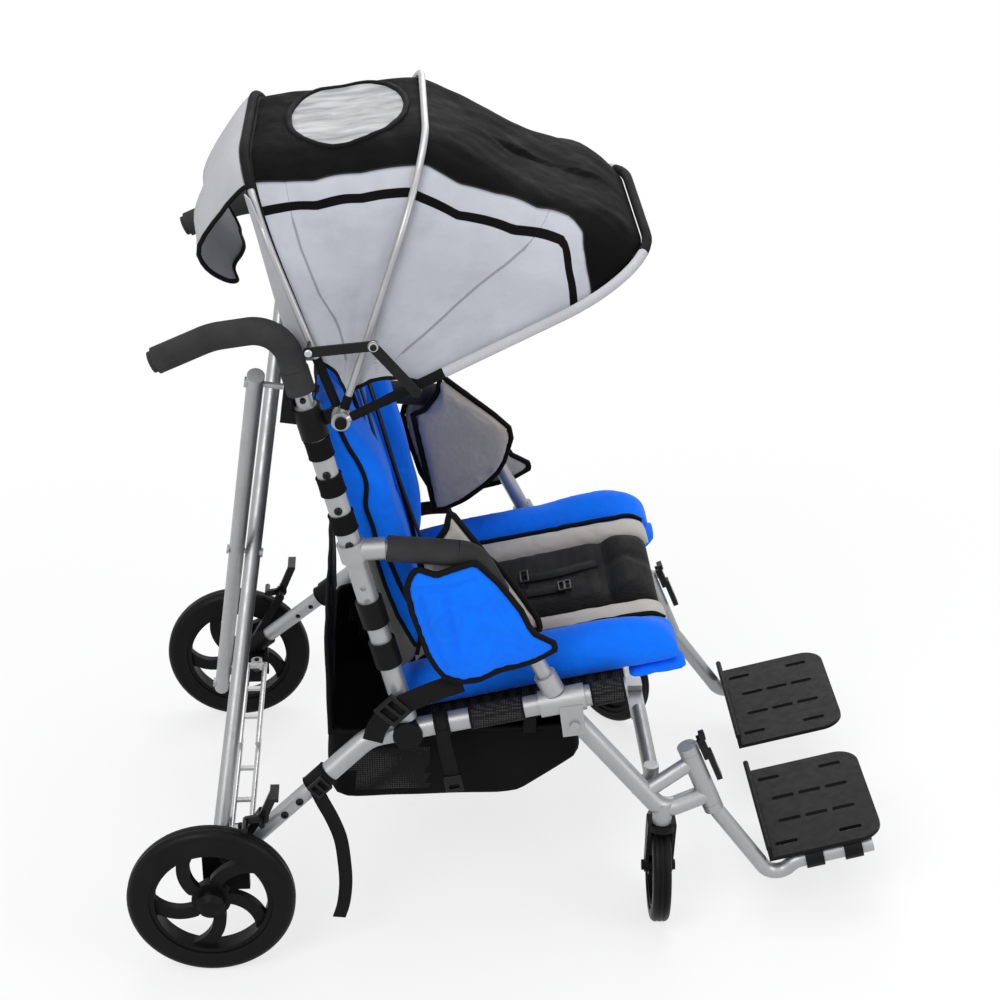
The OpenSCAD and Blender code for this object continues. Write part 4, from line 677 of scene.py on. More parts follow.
def hood_mark(angle, y, r):
    """Signed distances to the black top, the tape and the nearest seam, and the reach of the window."""
    p = side_place(angle, r)
    edge = math.copysign(off_line(p, edge_ends), r - table(HOOD_EDGE, angle))
    tape = math.copysign(off_line(p, tape_ends), r - table(HOOD_TAPE, angle))
    seams = [math.copysign(off_line(p, e), angle - table(q, r)) for e, q in zip(seam_ends, HOOD_SEAMS)]
    across, along = (angle - WINDOW_AT[0]) / WINDOW_SIZE[0], (y - WINDOW_AT[1]) / WINDOW_SIZE[1]
    return edge, tape, min(seams, key=abs), math.hypot(across, along)


HOOD_ROWS, HOOD_COLUMNS = 87, 151
hood_angles = np.linspace(HOOD_BOWS[0], HOOD_BOWS[2], HOOD_ROWS)
hood_grid, hood_marks = [], []
for angle in hood_angles:
    row = []
    for y, r in hood_line(angle, HOOD_INSET, HOOD_COLUMNS):
        sag = hood_sag(angle, y, r)
        centre = Vector((-y * SAG_SIDE_SHARE, HOOD_MIDDLE - r)).normalized() * sag
        row.append(on_hood(angle, r + centre.y, y + centre.x))
        hood_marks.append(hood_mark(angle, y, r))
    hood_grid.append(row)


def hood_cloth():
    """Grey sides, black top, a window, a tape stripe and sewn seams, by marks stored on the sheet."""
    f = Finish("hood_cloth", rest=True, specular=0.018)
    weave = f.threads(0.0006)
    broad = f.noise(0.07, 4.0)
    fold = f.noise(0.085, 2.5, (1.0, 0.5, 0.45))
    crease = f.noise(0.03, 3.0, (0.8, 0.6, 1.0))
    edge, tape = f.attribute("edge", "Fac"), f.attribute("tape", "Fac")
    top = f.spread(edge, 0.0, 1.0, -0.3, 0.3)
    stripe = f.spread(f.math("ABSOLUTE", tape, 0.0), 1.0, 0.0, 4.6, 5.1)
    pale, dark = f.tones(broad, HOOD_GREY, 0.95, 1.04), f.tones(broad, SOFT_BLACK, 0.5, 0.8)
    base = f.mix(f.math("MAXIMUM", top, stripe), pale, dark)
    base = f.mix(f.spread(weave, 0.03, 0.0), base, shade(SOFT_BLACK, 0.5))
    see = f.spread(f.attribute("window", "Fac"), 1.0, 0.0, 0.985, 1.0)
    veil = f.noise(0.035, 3.0, (0.4, 1.5, 1.0))
    base = f.mix(see, base, f.ramp(veil, [(0.35, (0.27, 0.27, 0.28)), (0.65, (0.5, 0.5, 0.51))]))
    join = f.spread(f.math("ABSOLUTE", edge, 0.0), 1.0, 0.0, 0.6, 2.2)
    sewn = f.spread(f.math("ABSOLUTE", f.attribute("seam", "Fac"), 0.0), 1.0, 0.0, 0.7, 1.9)
    line = f.math("MAXIMUM", join, sewn)
    base = f.mix(f.math("MULTIPLY", line, 0.45), base, (0.05, 0.05, 0.055))
    f.bump(fold, 0.016)
    f.bump(crease, 0.003)
    f.bump(f.math("SUBTRACT", stripe, sewn), 0.0008)
    f.bump(weave, 0.00004)
    return f.close(base, f.spread(broad, 0.55, 0.72))


hood = piece("hood", [p for row in hood_grid for p in row], quads(HOOD_ROWS, HOOD_COLUMNS), hood_cloth())
keep_rest(hood)
for k, mark in enumerate(("edge", "tape", "seam", "window")):
    marks = hood.data.attributes.new(mark, "FLOAT", "POINT")
    marks.data.foreach_set("value", np.array([m[k] for m in hood_marks], np.float32))
hood_flat = (max(map(reach_of, hood_grid)), max(map(reach_of, zip(*hood_grid))))
thicken(hood, CLOTH_THICK, CLOTH_SHARP)
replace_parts(hood, "canopy_cloth")

# Piping and hems of the hood
WINDOW_POINTS, WINDOW_LIFT, WINDOW_ABOVE, LINE_POINTS = 64, 1.4, 240, 241
HEM_POINTS, REAR_HEM_AHEAD = 70, 0.9


def window_point(turn):
    """A place on the rim of the window, on the sagging cloth."""
    angle = WINDOW_AT[0] + WINDOW_SIZE[0] * math.cos(turn)
    y = WINDOW_AT[1] + WINDOW_SIZE[1] * math.sin(turn)
    line = [p for p in hood_line(angle, HOOD_INSET - WINDOW_LIFT, LINE_POINTS) if p[1] > WINDOW_ABOVE]
    nearest = min(line, key=lambda p: abs(p[0] - y))
    return on_hood(angle, nearest[1] - hood_sag(angle, *nearest) * 0.9, nearest[0])


def hem_points(angle, inset, low=None):
    return [on_hood(angle, r, y) for y, r in hood_line(angle, inset, HEM_POINTS, low)]


window_rim = [window_point(2 * math.pi * k / WINDOW_POINTS) for k in range(WINDOW_POINTS)]
hood_trim = [tube("hood_window_piping", window_rim, PIPE_R["window"], piping, closed=True)]
for side, column in (("r", 0), ("l", HOOD_COLUMNS - 1)):
    hood_trim.append(tube("hood_hem_" + side, [row[column] for row in hood_grid], PIPE_R["hem"], piping))
rear_line = hem_points(HOOD_BOWS[0] + REAR_HEM_AHEAD, HOOD_INSET)
hood_trim.append(tube("hood_rear_binding", rear_line, PIPE_R["rear hem"], piping))
hood_start, hood_end = (on_hood(HOOD_BOWS[k], HOOD_MIDDLE, 0) for k in (0, 2))
for obj in [hood, *hood_trim]:
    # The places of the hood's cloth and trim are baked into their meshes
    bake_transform(obj)
    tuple(hood_start)
    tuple(hood_end)

# Sleeve and boots round the hoops
REAR_WRAP_LOW, BOOT_LOW, BOOT_OVERLAP, BOOT_STEPS, ROUND_SIDES = 290, 14, 6, 6, 12
SLEEVE_R, BOOT_R, FRONT_HEM_R = BOW_RADIUS + 1.5, BOW_RADIUS + 1.6, BOW_RADIUS + 2.2
SLEEVE_POINTS, HOOP_POINTS = 161, 401
BOW_BODIES, BOW_OUT = ("right_side", "canopy_mid", "canopy_front"), (0, 1.6, 1.9)
rear_arc = hood_line(HOOD_BOWS[0], 0, SLEEVE_POINTS)
rear_wrap = [on_hood(HOOD_BOWS[0], r, y) for y, r in rear_arc if r > REAR_WRAP_LOW]
hood_trim.append(tube("hood_rear_sleeve", rear_wrap, SLEEVE_R, piping, "right_side", ROUND_SIDES))
for bow, angle, bow_body, out in zip(("rear", "mid", "front"), HOOD_BOWS, BOW_BODIES, BOW_OUT):
    foot = [hood_line(angle, -out, 2, r)[1] for r in (BOOT_LOW, hood_size(angle, 2) + BOOT_OVERLAP)]
    for side, sign, _ in SIDES:
        ends = [on_hood(angle, r, sign * y) for y, r in foot]
        line = [lerp(*ends, k / BOOT_STEPS) for k in range(BOOT_STEPS + 1)]
        tube(f"hood_boot_{bow}_{side}", line, BOOT_R, piping, bow_body, ROUND_SIDES)

# Cloth of the hood's sides, drawn in behind the rear hoop
WRAP_BACK = [(74, 32), (110, 30), (170, 24), (230, 16), (292, 9)]
WRAP_IN, WRAP_CREASE, WRAP_ROWS, WRAP_COLUMNS = 30, 1.5, 25, 7
rear_lean = math.radians(HOOD_BOWS[0])
wrap_way = Vector((-math.cos(rear_lean), 0, math.sin(rear_lean)))


def wrap_point(sign, u, w):
    r = lerp(WRAP_BACK[0][0], WRAP_BACK[-1][0], u)
    y = hood_half(HOOD_BOWS[0]) - BOW_DRAW * r / BOW_REAR_H - HOOD_INSET
    crease = WRAP_CREASE * w * noise.noise(Vector((r * 0.03, w * 2, sign)))
    inward = Vector((0, -sign * WRAP_IN * w * MM, 0))
    return on_hood(HOOD_BOWS[0], r, sign * (y + crease)) + inward + wrap_way * table(WRAP_BACK, r) * w * MM


for side, sign, _ in SIDES:
    wrap_rows = grid(WRAP_ROWS, WRAP_COLUMNS, lambda u, w: wrap_point(sign, u, w))
    strip = sheet_solid("hood_side_" + side, wrap_rows, hem, CLOTH_THICK)
    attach(strip, "right_side")
    hood_trim.append(strip)

# Front hem: grey along the sides, black across the middle and at the feet
HEM_TURN, HEM_FOOT, HEM_LOW = 0.175, 0.15, 60
front_line = hem_points(HOOD_BOWS[2], -BOW_OUT[2], HEM_LOW)
hood_hem = tube("hood_front_hem", front_line, FRONT_HEM_R, hem, "canopy_front", ROUND_SIDES)


def black_hem(face):
    foot = (face.center - at(HUB[0], face.center.y / MM, HUB[1])).length < HEM_FOOT
    return foot or abs(face.center.y) < HEM_TURN


paint(hood_hem, piping, black_hem)
hood_trim.append(hood_hem)

# Rear curtain of the hood, hung behind the rear hoop, with a bound edge and a slack middle
FLAP_LINE = [(0, 0), (10, -10), (26, -32), (43, -58), (58, -86)]
FLAP_LINE += [(63, -108), (54, -136), (35, -162), (16, -182)]
FLAP_HALF, FLAP_REACH, FLAP_SIDE, FLAP_SQUARE = 188, 222, 46, 6
FLAP_ROWS, FLAP_COLUMNS = 31, 81
FLAP_BEHIND, FLAP_BELOW, FLAP_TAPER, FLAP_WAVE, FLAP_CREASE = 6.5, 1, 14, 4.5, 3
flap_line = eased([(*p, 0) for p in FLAP_LINE], 6)
flap_steps = steps_of(flap_line)
rear_hoop = [p for p in hood_line(HOOD_BOWS[0], 0, HOOP_POINTS) if p[1] > BOW_REAR_H / 2]


def flap_point(down, across):
    """A place of the curtain, down from the hoop and across from right to left."""
    v = 2 * across - 1
    y = FLAP_HALF * v
    start = on_hood(HOOD_BOWS[0], table(rear_hoop, y), y)
    reach = down * lerp(FLAP_REACH, FLAP_SIDE, abs(v) ** FLAP_SQUARE)
    back, drop = (float(np.interp(reach, flap_steps, [q[k] for q in flap_line])) for k in (0, 1))
    wave = FLAP_WAVE * down * math.sin(v * 2.3 * math.pi + 0.7)
    wave += FLAP_CREASE * down * noise.noise(Vector((v * 3, down * 2, 1.3)))
    return start + Vector((wave - back - FLAP_BEHIND, -v * FLAP_TAPER * down, drop - FLAP_BELOW)) * MM


flap_grid = grid(FLAP_ROWS, FLAP_COLUMNS, flap_point)
flap_flat = (reach_of(flap_grid[-1]), reach_of([row[FLAP_COLUMNS // 2] for row in flap_grid]))
flap = sheet_solid("hood_curtain", flap_grid, hem, CLOTH_THICK)
fold_with_frame(flap)
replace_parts(flap, "canopy_cloth")
flap_binding = piped("hood_curtain_binding", three_edges(flap_grid), PIPE_R["curtain"])


# Padded pieces
def plump(t, power):
    return math.sqrt(max(0.0, 1 - abs(2 * t - 1) ** power))


def groove(t, place, width):
    return math.exp(-(((t - place) / width) ** 2))


def stations(count, power=1.6):
    """Shares from 0 to 1, closer together towards both ends."""
    out = []
    for k in range(count):
        t = 2 * k / (count - 1) - 1
        out.append(0.5 + 0.5 * math.copysign(1 - (1 - abs(t)) ** power, t))
    return out


def pad_form(name, place, height, rim, finish, rows, columns, ends, low_share=0.9):
    """A closed pad over a base: place(u, v, h) is a point at height h, and height(u, v) the crown."""
    us, vs = stations(rows), stations(columns)
    verts = []
    for top in (True, False):
        for u in us:
            for v in vs:
                swell = plump(u, ends[0]) * plump(v, ends[1])
                edge = rim(u, v) if callable(rim) else rim
                h = lerp(edge, height(u, v), swell) if top else edge * low_share * (1 - swell)
                verts.append(place(u, v, h))
    size = rows * columns
    upper = quads(rows, columns)
    faces = [tuple(reversed(f)) for f in upper] + [tuple(size + k for k in f) for f in upper]
    sides = [(i * columns + j, columns, j > 0) for i in range(rows - 1) for j in (0, columns - 1)]
    sides += [(i * columns + j, 1, i == 0) for j in range(columns - 1) for i in (0, rows - 1)]
    for a, step, flip in sides:
        f = (a, a + step, size + a + step, size + a)
        faces.append(f if flip else tuple(reversed(f)))
    made = piece(name, verts, faces, finish)
    mesh = made.data
    shell = bmesh.new()
    shell.from_mesh(mesh)
    bmesh.ops.remove_doubles(shell, verts=shell.verts, dist=1e-6)
    bmesh.ops.recalc_face_normals(shell, faces=shell.faces)
    shell.to_mesh(mesh)
    shell.free()
    mesh.shade_smooth()
    return made


VOXEL, PUFF, FOLD_PUFF, SIDE_VOXEL = 5.5, 6.0, 3.0, 4.5
SEAT_BASE, BACK_BASE, RAY_FROM = 3.5, -4, 160
SEAT_GRID, BACK_GRID, FOLD_GRID, SIDE_GRID = (40, 16), (40, 18), (14, 30), (34, 26)
SEAT_UP = Vector((-math.sin(SEAT_TILT), 0, math.cos(SEAT_TILT)))
BACK_OUT = Vector((math.cos(BACK_LEAN), 0, math.sin(BACK_LEAN)))


def skin_of(*objs):
    """A test that gives the first place where a line from a point meets some pieces."""
    trees = []
    for obj in objs:
        corners, faces = [v.co for v in obj.data.vertices], [f.vertices for f in obj.data.polygons]
        trees.append(BVHTree.FromPolygons(corners, faces))

    def meet(start, way):
        hits = [tree.ray_cast(start, way) for tree in trees]
        hits = [h for h in hits if h[0] is not None]
        return min(hits, key=lambda h: h[3])[0] if hits else None

    return meet


def turned(p, lean):
    """A point's place from the pivot in axes turned up by a lean, in millimetres."""
    x, z = p.x / MM + MID_X - PIVOT[0], p.z / MM - PIVOT[1]
    c, s = math.cos(lean), math.sin(lean)
    return x * c + z * s, z * c - x * s


def seat_place(p):
    """How far a point lies along the seat rails and above them, in millimetres."""
    return turned(p, SEAT_TILT)


def back_place(p):
    """How far a point lies up the back tubes and ahead of them, in millimetres."""
    out, s = turned(p, BACK_LEAN)
    return s, out


def between(on, base, spans, ys, drawn):
    """A pad's places: between two stations and two sides, drawn in a little at half length."""
    mid, half = (ys[0] + ys[1]) / 2, (ys[1] - ys[0]) / 2

    def place(u, v, h):
        tight = half - drawn * math.sin(math.pi * u)
        return on(lerp(*spans, u), mid + (2 * v - 1) * tight, base + h)

    return place


def mirrored(sign, ys):
    return tuple(sorted(sign * y for y in ys))


def seat_part(made, puff):
    puffed(made, VOXEL, puff)
    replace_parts(made, "seat_cushion")
    return fold_with_frame(made)


def seat_pad(name, spans, ys, crown, rim, finish, ends=(7, 5)):
    """A pad on the seat between two places along the rails and two across."""
    place = between(on_seat, SEAT_BASE, spans, ys, 1.0)
    return seat_part(pad_form(name, place, crown, rim, finish, *SEAT_GRID, ends, 0.7), PUFF)


SEAT_SEAM, SEAT_LOW = 41, 16
BOLSTER_CROWN, BOLSTER_SWELL, BOLSTER_FRONT = 57, 9, 9
BAND_CROWN, CENTRE_CROWN, CENTRE_STEP, CENTRE_FOLD, CENTRE_DEEP = 45, 42, 9, 0.8, 10


def seam_edge(u, v):
    """A pad's edge on both sides, sewn up high to its neighbours and low at the two ends."""
    return lerp(SEAT_LOW, SEAT_SEAM, plump(u, 9))


def bolster(sign):
    """Crown and edge of a seat bolster: high along its inner seam, low along its outer side."""

    def inward(v):
        return v if sign < 0 else 1 - v

    def crown(u, v):
        front = BOLSTER_FRONT * smooth((u - 0.6) / 0.25)
        full = BOLSTER_CROWN + BOLSTER_SWELL * math.sin(math.pi * u) + front
        full += 2.5 * noise.noise(Vector((u * 9, v * 3, 2.2)))
        return lerp(SEAT_SEAM + 3, full, smooth((1 - inward(v)) / 0.62))

    def edge(u, v):
        return lerp(SEAT_LOW, seam_edge(u, v), smooth((inward(v) - 0.5) / 0.5))

    return crown, edge


def band_crown(u, v):
    return BAND_CROWN + 3 * math.sin(math.pi * u) + 2.6 * noise.noise(Vector((u * 18, v * 1.5, 5.1)))


def centre_crown(u, v):
    seam = groove(u, CENTRE_FOLD, 0.02) + (groove(v, 0.52, 0.03) if u > CENTRE_FOLD else 0)
    return CENTRE_CROWN + CENTRE_STEP * smooth((u - CENTRE_FOLD) / 0.08) - CENTRE_DEEP * min(seam, 1.2)


SEAT_SPAN, BOLSTER_SPAN, SEAM_SPAN = (14, 374), (-20, 380), (18, 370)
BOLSTER_Y, BAND_Y, CENTRE_Y = (150, 223), (101, 148), (-99, 99)
SEAM_R, SEAM_Y, SEAM_BESIDE, SEAM_STEPS = 3.6, 149, (144, 149, 155), 30
for side, sign, _ in SIDES:
    roll = seat_pad("seat_bolster_" + side, BOLSTER_SPAN, mirrored(sign, BOLSTER_Y), *bolster(sign), blue)
    inner = mirrored(sign, BAND_Y)
    band = seat_pad("seat_band_" + side, SEAT_SPAN, inner, band_crown, seam_edge, grey, (8, 3))
    meet = skin_of(roll, band)
    line = []
    for k in range(SEAM_STEPS + 1):
        s = lerp(*SEAM_SPAN, k / SEAM_STEPS)
        hits = [meet(on_seat(s, sign * y, RAY_FROM), -SEAT_UP) for y in SEAM_BESIDE]
        low = min(seat_place(h)[1] for h in hits if h is not None)
        line.append(on_seat(s, sign * SEAM_Y, low + 0.9 * SEAM_R))
    piped("seat_seam_" + side, eased(line, 3), SEAM_R)
seat_centre = seat_pad("seat_centre", SEAT_SPAN, CENTRE_Y, centre_crown, seam_edge, spacer, (8, 8))

FRONT_FOLD = {"rear": 306, "front": (346, 388), "y": (104, 216), "low": -17, "thick": 17, "rim": 8}


def front_fold(sign, u, v, h):
    """A place of the cover's loose front corner, turned down and under ahead of a rail."""
    reach = lerp(*FRONT_FOLD["front"], smooth(v * 1.4))
    rise = FRONT_FOLD["low"] + h + 2.5 * math.sin(v * 9) * u
    return on_seat(lerp(FRONT_FOLD["rear"], reach, u), sign * lerp(*FRONT_FOLD["y"], v), rise)


for side, sign, _ in SIDES:
    made = pad_form(
        "seat_front_fold_" + side,
        lambda u, v, h: front_fold(sign, u, v, h),
        lambda u, v: FRONT_FOLD["thick"], FRONT_FOLD["rim"], blue, *FOLD_GRID, (4, 8),
    )
    seat_part(made, FOLD_PUFF)


BACK_SPAN = (70, 486)


def back_pad(name, ys, crown, rim, finish, ends=(7, 5), drawn=3.0):
    """A pad on the back tubes, with a black rear."""
    place = between(on_back, BACK_BASE, BACK_SPAN, ys, drawn)
    made = pad_form(name, place, crown, rim, finish, *BACK_GRID, ends)
    puffed(made, VOXEL, PUFF)
    paint(made, black, lambda face: face.normal.dot(BACK_OUT) < -0.45)
    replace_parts(made, "back_cushion")
    return fold_with_frame(made)


WING_CROWN = [(70, 58), (263, 62), (361, 60), (405, 48), (437, 38), (486, 30)]
BACK_CROWN, BACK_DEEP, BACK_SEAMS, WING_RIM, BACK_RIM = 40, 7, (0.36, 0.68), 14, 12


def back_side_crown(u, v):
    return table(WING_CROWN, lerp(*BACK_SPAN, u)) + 3 * noise.noise(Vector((u * 7, v * 2, 4.4)))


def back_centre_crown(u, v):
    seams = sum(groove(u, seam, 0.025) for seam in BACK_SEAMS)
    return BACK_CROWN - BACK_DEEP * min(seams, 1) + 2 * noise.noise(Vector((u * 6, v * 3, 8.4)))


# Below this line the lower outer part of a wing is painted with shade; black piping runs along it
SATIN_LINE = [(68, 48), (101, 35), (149, 24), (201, 20), (262, 20)]
SATIN_TOP, SATIN_Y, WING_EDGE, WING_Y, BACK_Y = 262, 150, 207, (102, 217), (-98, 98)
BACK_SEAM_SPAN, BACK_SEAM_Y, BACK_SEAM_UP, BACK_SEAM_FULL = (76, 480), 100, 30, 12
EDGE_SPAN, BACK_STEPS, WING_OUTSIDE, SATIN_START, SATIN_STEPS = (84, 478), 40, 300, 74, 30


def painted_shade_faces(face):
    """The lower outer part of a back wing's front, painted with shade: its grey satin is darkened there."""
    s, out = back_place(face.center)
    outer = s < SATIN_TOP and abs(face.center.y) > SATIN_Y * MM
    return outer and out < table(SATIN_LINE, s) and face.material_index == 0


for side, sign, _ in SIDES:
    wing = back_pad("back_wing_" + side, mirrored(sign, WING_Y), back_side_crown, WING_RIM, blue)
    # Painted shade: the lower outer part of each wing's front gets the darkened grey satin
    paint(wing, painted_shade_satin, painted_shade_faces)
    shares = [k / BACK_STEPS for k in range(BACK_STEPS + 1)]
    line = []
    for t in shares:
        out = BACK_SEAM_UP + BACK_SEAM_FULL * plump(t, 6)
        line.append(on_back(lerp(*BACK_SEAM_SPAN, t), sign * BACK_SEAM_Y, out))
    piped("back_seam_" + side, line, PIPE_R["back seam"])
    meet = skin_of(wing)
    front = [meet(on_back(lerp(*EDGE_SPAN, t), sign * WING_EDGE, RAY_FROM), -BACK_OUT) for t in shares]
    front = [p + BACK_OUT * 2 * MM for p in front if p is not None]
    piped("back_piping_" + side, eased(front[::3], 4), PIPE_R["back edge"])
    beside = []
    for s in np.linspace(SATIN_START, SATIN_TOP, SATIN_STEPS):
        hit = meet(on_back(s, sign * WING_OUTSIDE, table(SATIN_LINE, s)), Vector((0, -sign, 0)))
        if hit is not None:
            beside.append(hit + Vector((0, sign * 1.2 * MM, 0)))
    piped("back_side_piping_" + side, eased(beside[::2], 3), PIPE_R["back side"])
back_pad("back_centre", BACK_Y, back_centre_crown, BACK_RIM, blue, (8, 8), 1.0)

# Side pads: a grey cushion inside the armrest and a blue panel outside it, both bound in black
PAD_Y, PANEL_Y = 224.2, 277.8
PAD_EDGES = {
    -1: [
        (62, 94, 246), (81, 94, 250), (106, 94, 274), (116, 94, 300),
        (151, 94, 222), (166, 94, 199), (181, 96, 163), (200, 98, 112),
    ],
    1: [
        (62, 80, 246), (81, 82, 250), (106, 88, 274), (116, 92, 300),
        (147, 108, 262), (168, 123, 237), (182, 140, 220), (200, 176, 194),
    ],
}
PANEL_EDGES = [
    (42, 190, 225), (50, 120, 243), (62, 86, 252), (84, 72, 238), (107, 70, 242), (138, 79, 245.5),
    (162, 80, 208), (184, 83, 158), (190, 84.5, 126), (216, 94, 104),
]


def edged_place(edges, depth, sign, u, v, out):
    """A place of a side pad, between its low and its top edge."""
    s = lerp(edges[0][0], edges[-1][0], u)
    return on_seat(s, sign * (depth + out), lerp(table(edges, s), table(edges, s, 2), v))


def pad_place(sign, u, v, out):
    return edged_place(PAD_EDGES[sign], PAD_Y, sign, u, v, out)


def panel_place(sign, u, v, out):
    return edged_place(PANEL_EDGES, PANEL_Y, sign, u, v, out)


def pad_crown(u, v):
    """A slack cover: a few broad folds that run up from its foot."""
    fold = abs(noise.noise(Vector((u * 3.4 + v * 1.2, v * 1.1 - u * 0.5, 6.3))))
    return 20 - 12 * fold ** 0.7 + 2 * noise.noise(Vector((u * 8, v * 8, 1.3)))


def panel_crown(u, v):
    return 10 + 1.5 * noise.noise(Vector((u * 5, v * 5, 3.3)))


PANEL_SEAMS = (
    [(58.8, 217.9), (90.1, 211), (87.7, 177.3), (87.8, 118.2)],
    [(56, 218.5), (56.3, 177.3), (61.8, 131), (67.9, 101.5)],
    [(57, 223.4), (80, 220), (103.1, 216.6), (130.9, 222.4)],
)
SEAM_DEEP, SEAM_WIDE = 4.0, 4.5


def sewn(obj, sign):
    """Draws the panel's skin in along its seams, after the puffing."""
    ends = [[Vector(p) for p in line] for line in PANEL_SEAMS]
    for v in obj.data.vertices:
        if sign * v.co.y > PANEL_Y * MM:
            place = Vector(seat_place(v.co))
            near = min(off_line(place, e) for e in ends)
            v.co.y -= sign * SEAM_DEEP * MM * math.exp(-((near / SEAM_WIDE) ** 2))
    obj.data.update()


def rim_line(place, sign):
    """The outline of a pad, from its rear edge round over its top."""
    line = [place(sign, 0, v, 0) for v in np.linspace(0, 1, 12)]
    line += [place(sign, u, 1, 0) for u in np.linspace(0, 1, 32)[1:]]
    line += [place(sign, 1, v, 0) for v in np.linspace(1, 0, 8)[1:]]
    return line + [place(sign, u, 0, 0) for u in np.linspace(1, 0, 24)[1:-1]]


SIDE_PARTS = (
    ("cushion", pad_place, pad_crown, 9.5, grey, 3.0),
    ("panel", panel_place, panel_crown, 4.6, blue, 1.6),
)
for side, sign, body in SIDES:
    for part, place, crown, middle, finish, puff in SIDE_PARTS:
        made = pad_form(
            f"side_{part}_{side}",
            lambda u, v, h: place(sign, u, v, h - middle),
            crown, middle, finish, *SIDE_GRID, (6, 6),
        )
        puffed(made, SIDE_VOXEL, puff)
        if part == "panel":
            sewn(made, sign)
            paint(made, grey, lambda face: sign * face.normal.y < -0.25)
        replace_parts(made, f"side_pad_{side}")
        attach(made, body)
        rim = rim_line(place, sign)
        tube(f"side_{part}_binding_{side}", rim, PIPE_R["side pad"], piping, body, closed=True)

# Foam of the armrest, drawn on round the bend of its tube and down the post
ARM_BEND, ARM_BACK, ARM_DOWN = Vector((366, 597)), Vector((-0.9948, 0.102)), Vector((0.4478, -0.8943))
ARM_TURN, ARM_MORE, ARM_FOAM_R, ARM_SIDES = 22, 45, 17.45, 28
shares = [k / 8 for k in range(9)]
bend = [ARM_BEND + ARM_BACK * ARM_TURN * (1 - t) ** 2 + ARM_DOWN * ARM_TURN * t**2 for t in shares]
bend += [ARM_BEND + ARM_DOWN * (ARM_TURN + ARM_MORE * k / 5) for k in range(1, 6)]
for side, sign, body in SIDES:
    line = [at(p.x, sign * HALF_WIDTH, p.y) for p in bend]
    tube("arm_sleeve_" + side, line, ARM_FOAM_R, foam, body, ARM_SIDES)

# Seat sling: net between the rails, with sleeves round them and straps round the back tubes
SLING_SPAN, SLING_HALF, SLING_LOW, SLING_SAG = (24, 294), 231, -0.4, 1.2
SLING_ROWS, SLING_COLUMNS = 31, 41
SLING_SPANS, BACK_WRAPS, WRAP_LENGTH = ((84, 156), (252, 296)), (318, 374, 428), 24
RAIL_R, LOOSE, SLEEVE_SIDES, SLEEVE_THICK = 14.5, 0.6, 28, 1.2
BINDING_R, BINDING_OUT, BINDING_POINTS = 1.5, 1.0, 32


def sleeve(name, points, radius, finish, body, flare):
    """A fabric tube round a frame tube, a little loose and uneven, with bound ends."""
    pts = [Vector(p) for p in points]
    along = (pts[-1] - pts[0]).normalized()
    x = along.orthogonal().normalized()
    y = along.cross(x)
    verts = []
    for i, p in enumerate(pts):
        depth = i / (len(pts) - 1) * 3 + p.y * 7
        for k in range(SLEEVE_SIDES):
            turn = 2 * math.pi * k / SLEEVE_SIDES
            c, s = math.cos(turn), math.sin(turn)
            loose = flare * (0.5 + 0.5 * noise.noise(Vector((c * 1.5, s * 1.5, depth))))
            verts.append(p + (x * c + y * s) * (radius + loose) * MM)
    shell = piece(name, verts, quads(len(pts), SLEEVE_SIDES, wrap=True), finish)
    modifier(shell, "SOLIDIFY", thickness=SLEEVE_THICK * MM, offset=1.0)
    settle(shell)
    shell.data.shade_smooth()
    laid(shell, body)
    for end, p in (("a", pts[0]), ("b", pts[-1])):
        rim = ring(p, x, y, (radius + BINDING_OUT) * MM, BINDING_POINTS)
        tube(f"{name}_binding_{end}", rim, BINDING_R, piping, body, sides=8, closed=True)
    return shell


def sling_point(u, across):
    v = 2 * across - 1
    return on_seat(lerp(*SLING_SPAN, u), v * SLING_HALF, SLING_LOW - SLING_SAG * (1 - v * v))


sling_rows = grid(SLING_ROWS, SLING_COLUMNS, sling_point)
sling = sheet_solid("seat_sling_net", sling_rows, net, CLOTH_THICK)
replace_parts(sling, "seat_sling")
fold_with_frame(sling)
sling_flat = (reach_of(sling_rows[0]), reach_of([row[0] for row in sling_rows]))
for side, sign, body in SIDES:
    for n, span in enumerate(SLING_SPANS):
        line = [on_seat(lerp(*span, k / 10), sign * HALF_WIDTH, 0) for k in range(11)]
        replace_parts(sleeve(f"sling_sleeve_{side}{n}", line, RAIL_R + LOOSE, net, body, 0.6), "seat_sling")
    for n, s in enumerate(BACK_WRAPS):
        line = [on_back(s + WRAP_LENGTH * k / 8, sign * HALF_WIDTH, 0) for k in range(9)]
        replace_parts(sleeve(f"back_wrap_{side}{n}", line, RAIL_R + 0.7, black, body, 1.2), "seat_sling")

# Basket: a soft bag under the seat, open on top
BASKET = {"rear": 166, "front": 510, "half": 212, "low": 188, "rim": 300, "back": 452}
BASKET |= {"nose_x": 428, "nose_z": 250}
BASKET_POINTS, BASKET_CORNER, BASKET_BELLY, BASKET_WAVE, BASKET_MEAN = 96, 26, 7, 2.2, 210
BAG_THICK, BAG_BACK_THICK = 2.0, 1.8
BASKET_FLOOR = ((5, 4), (14, 0), (40, -3), (80, -5), (130, -6), (160, -6))


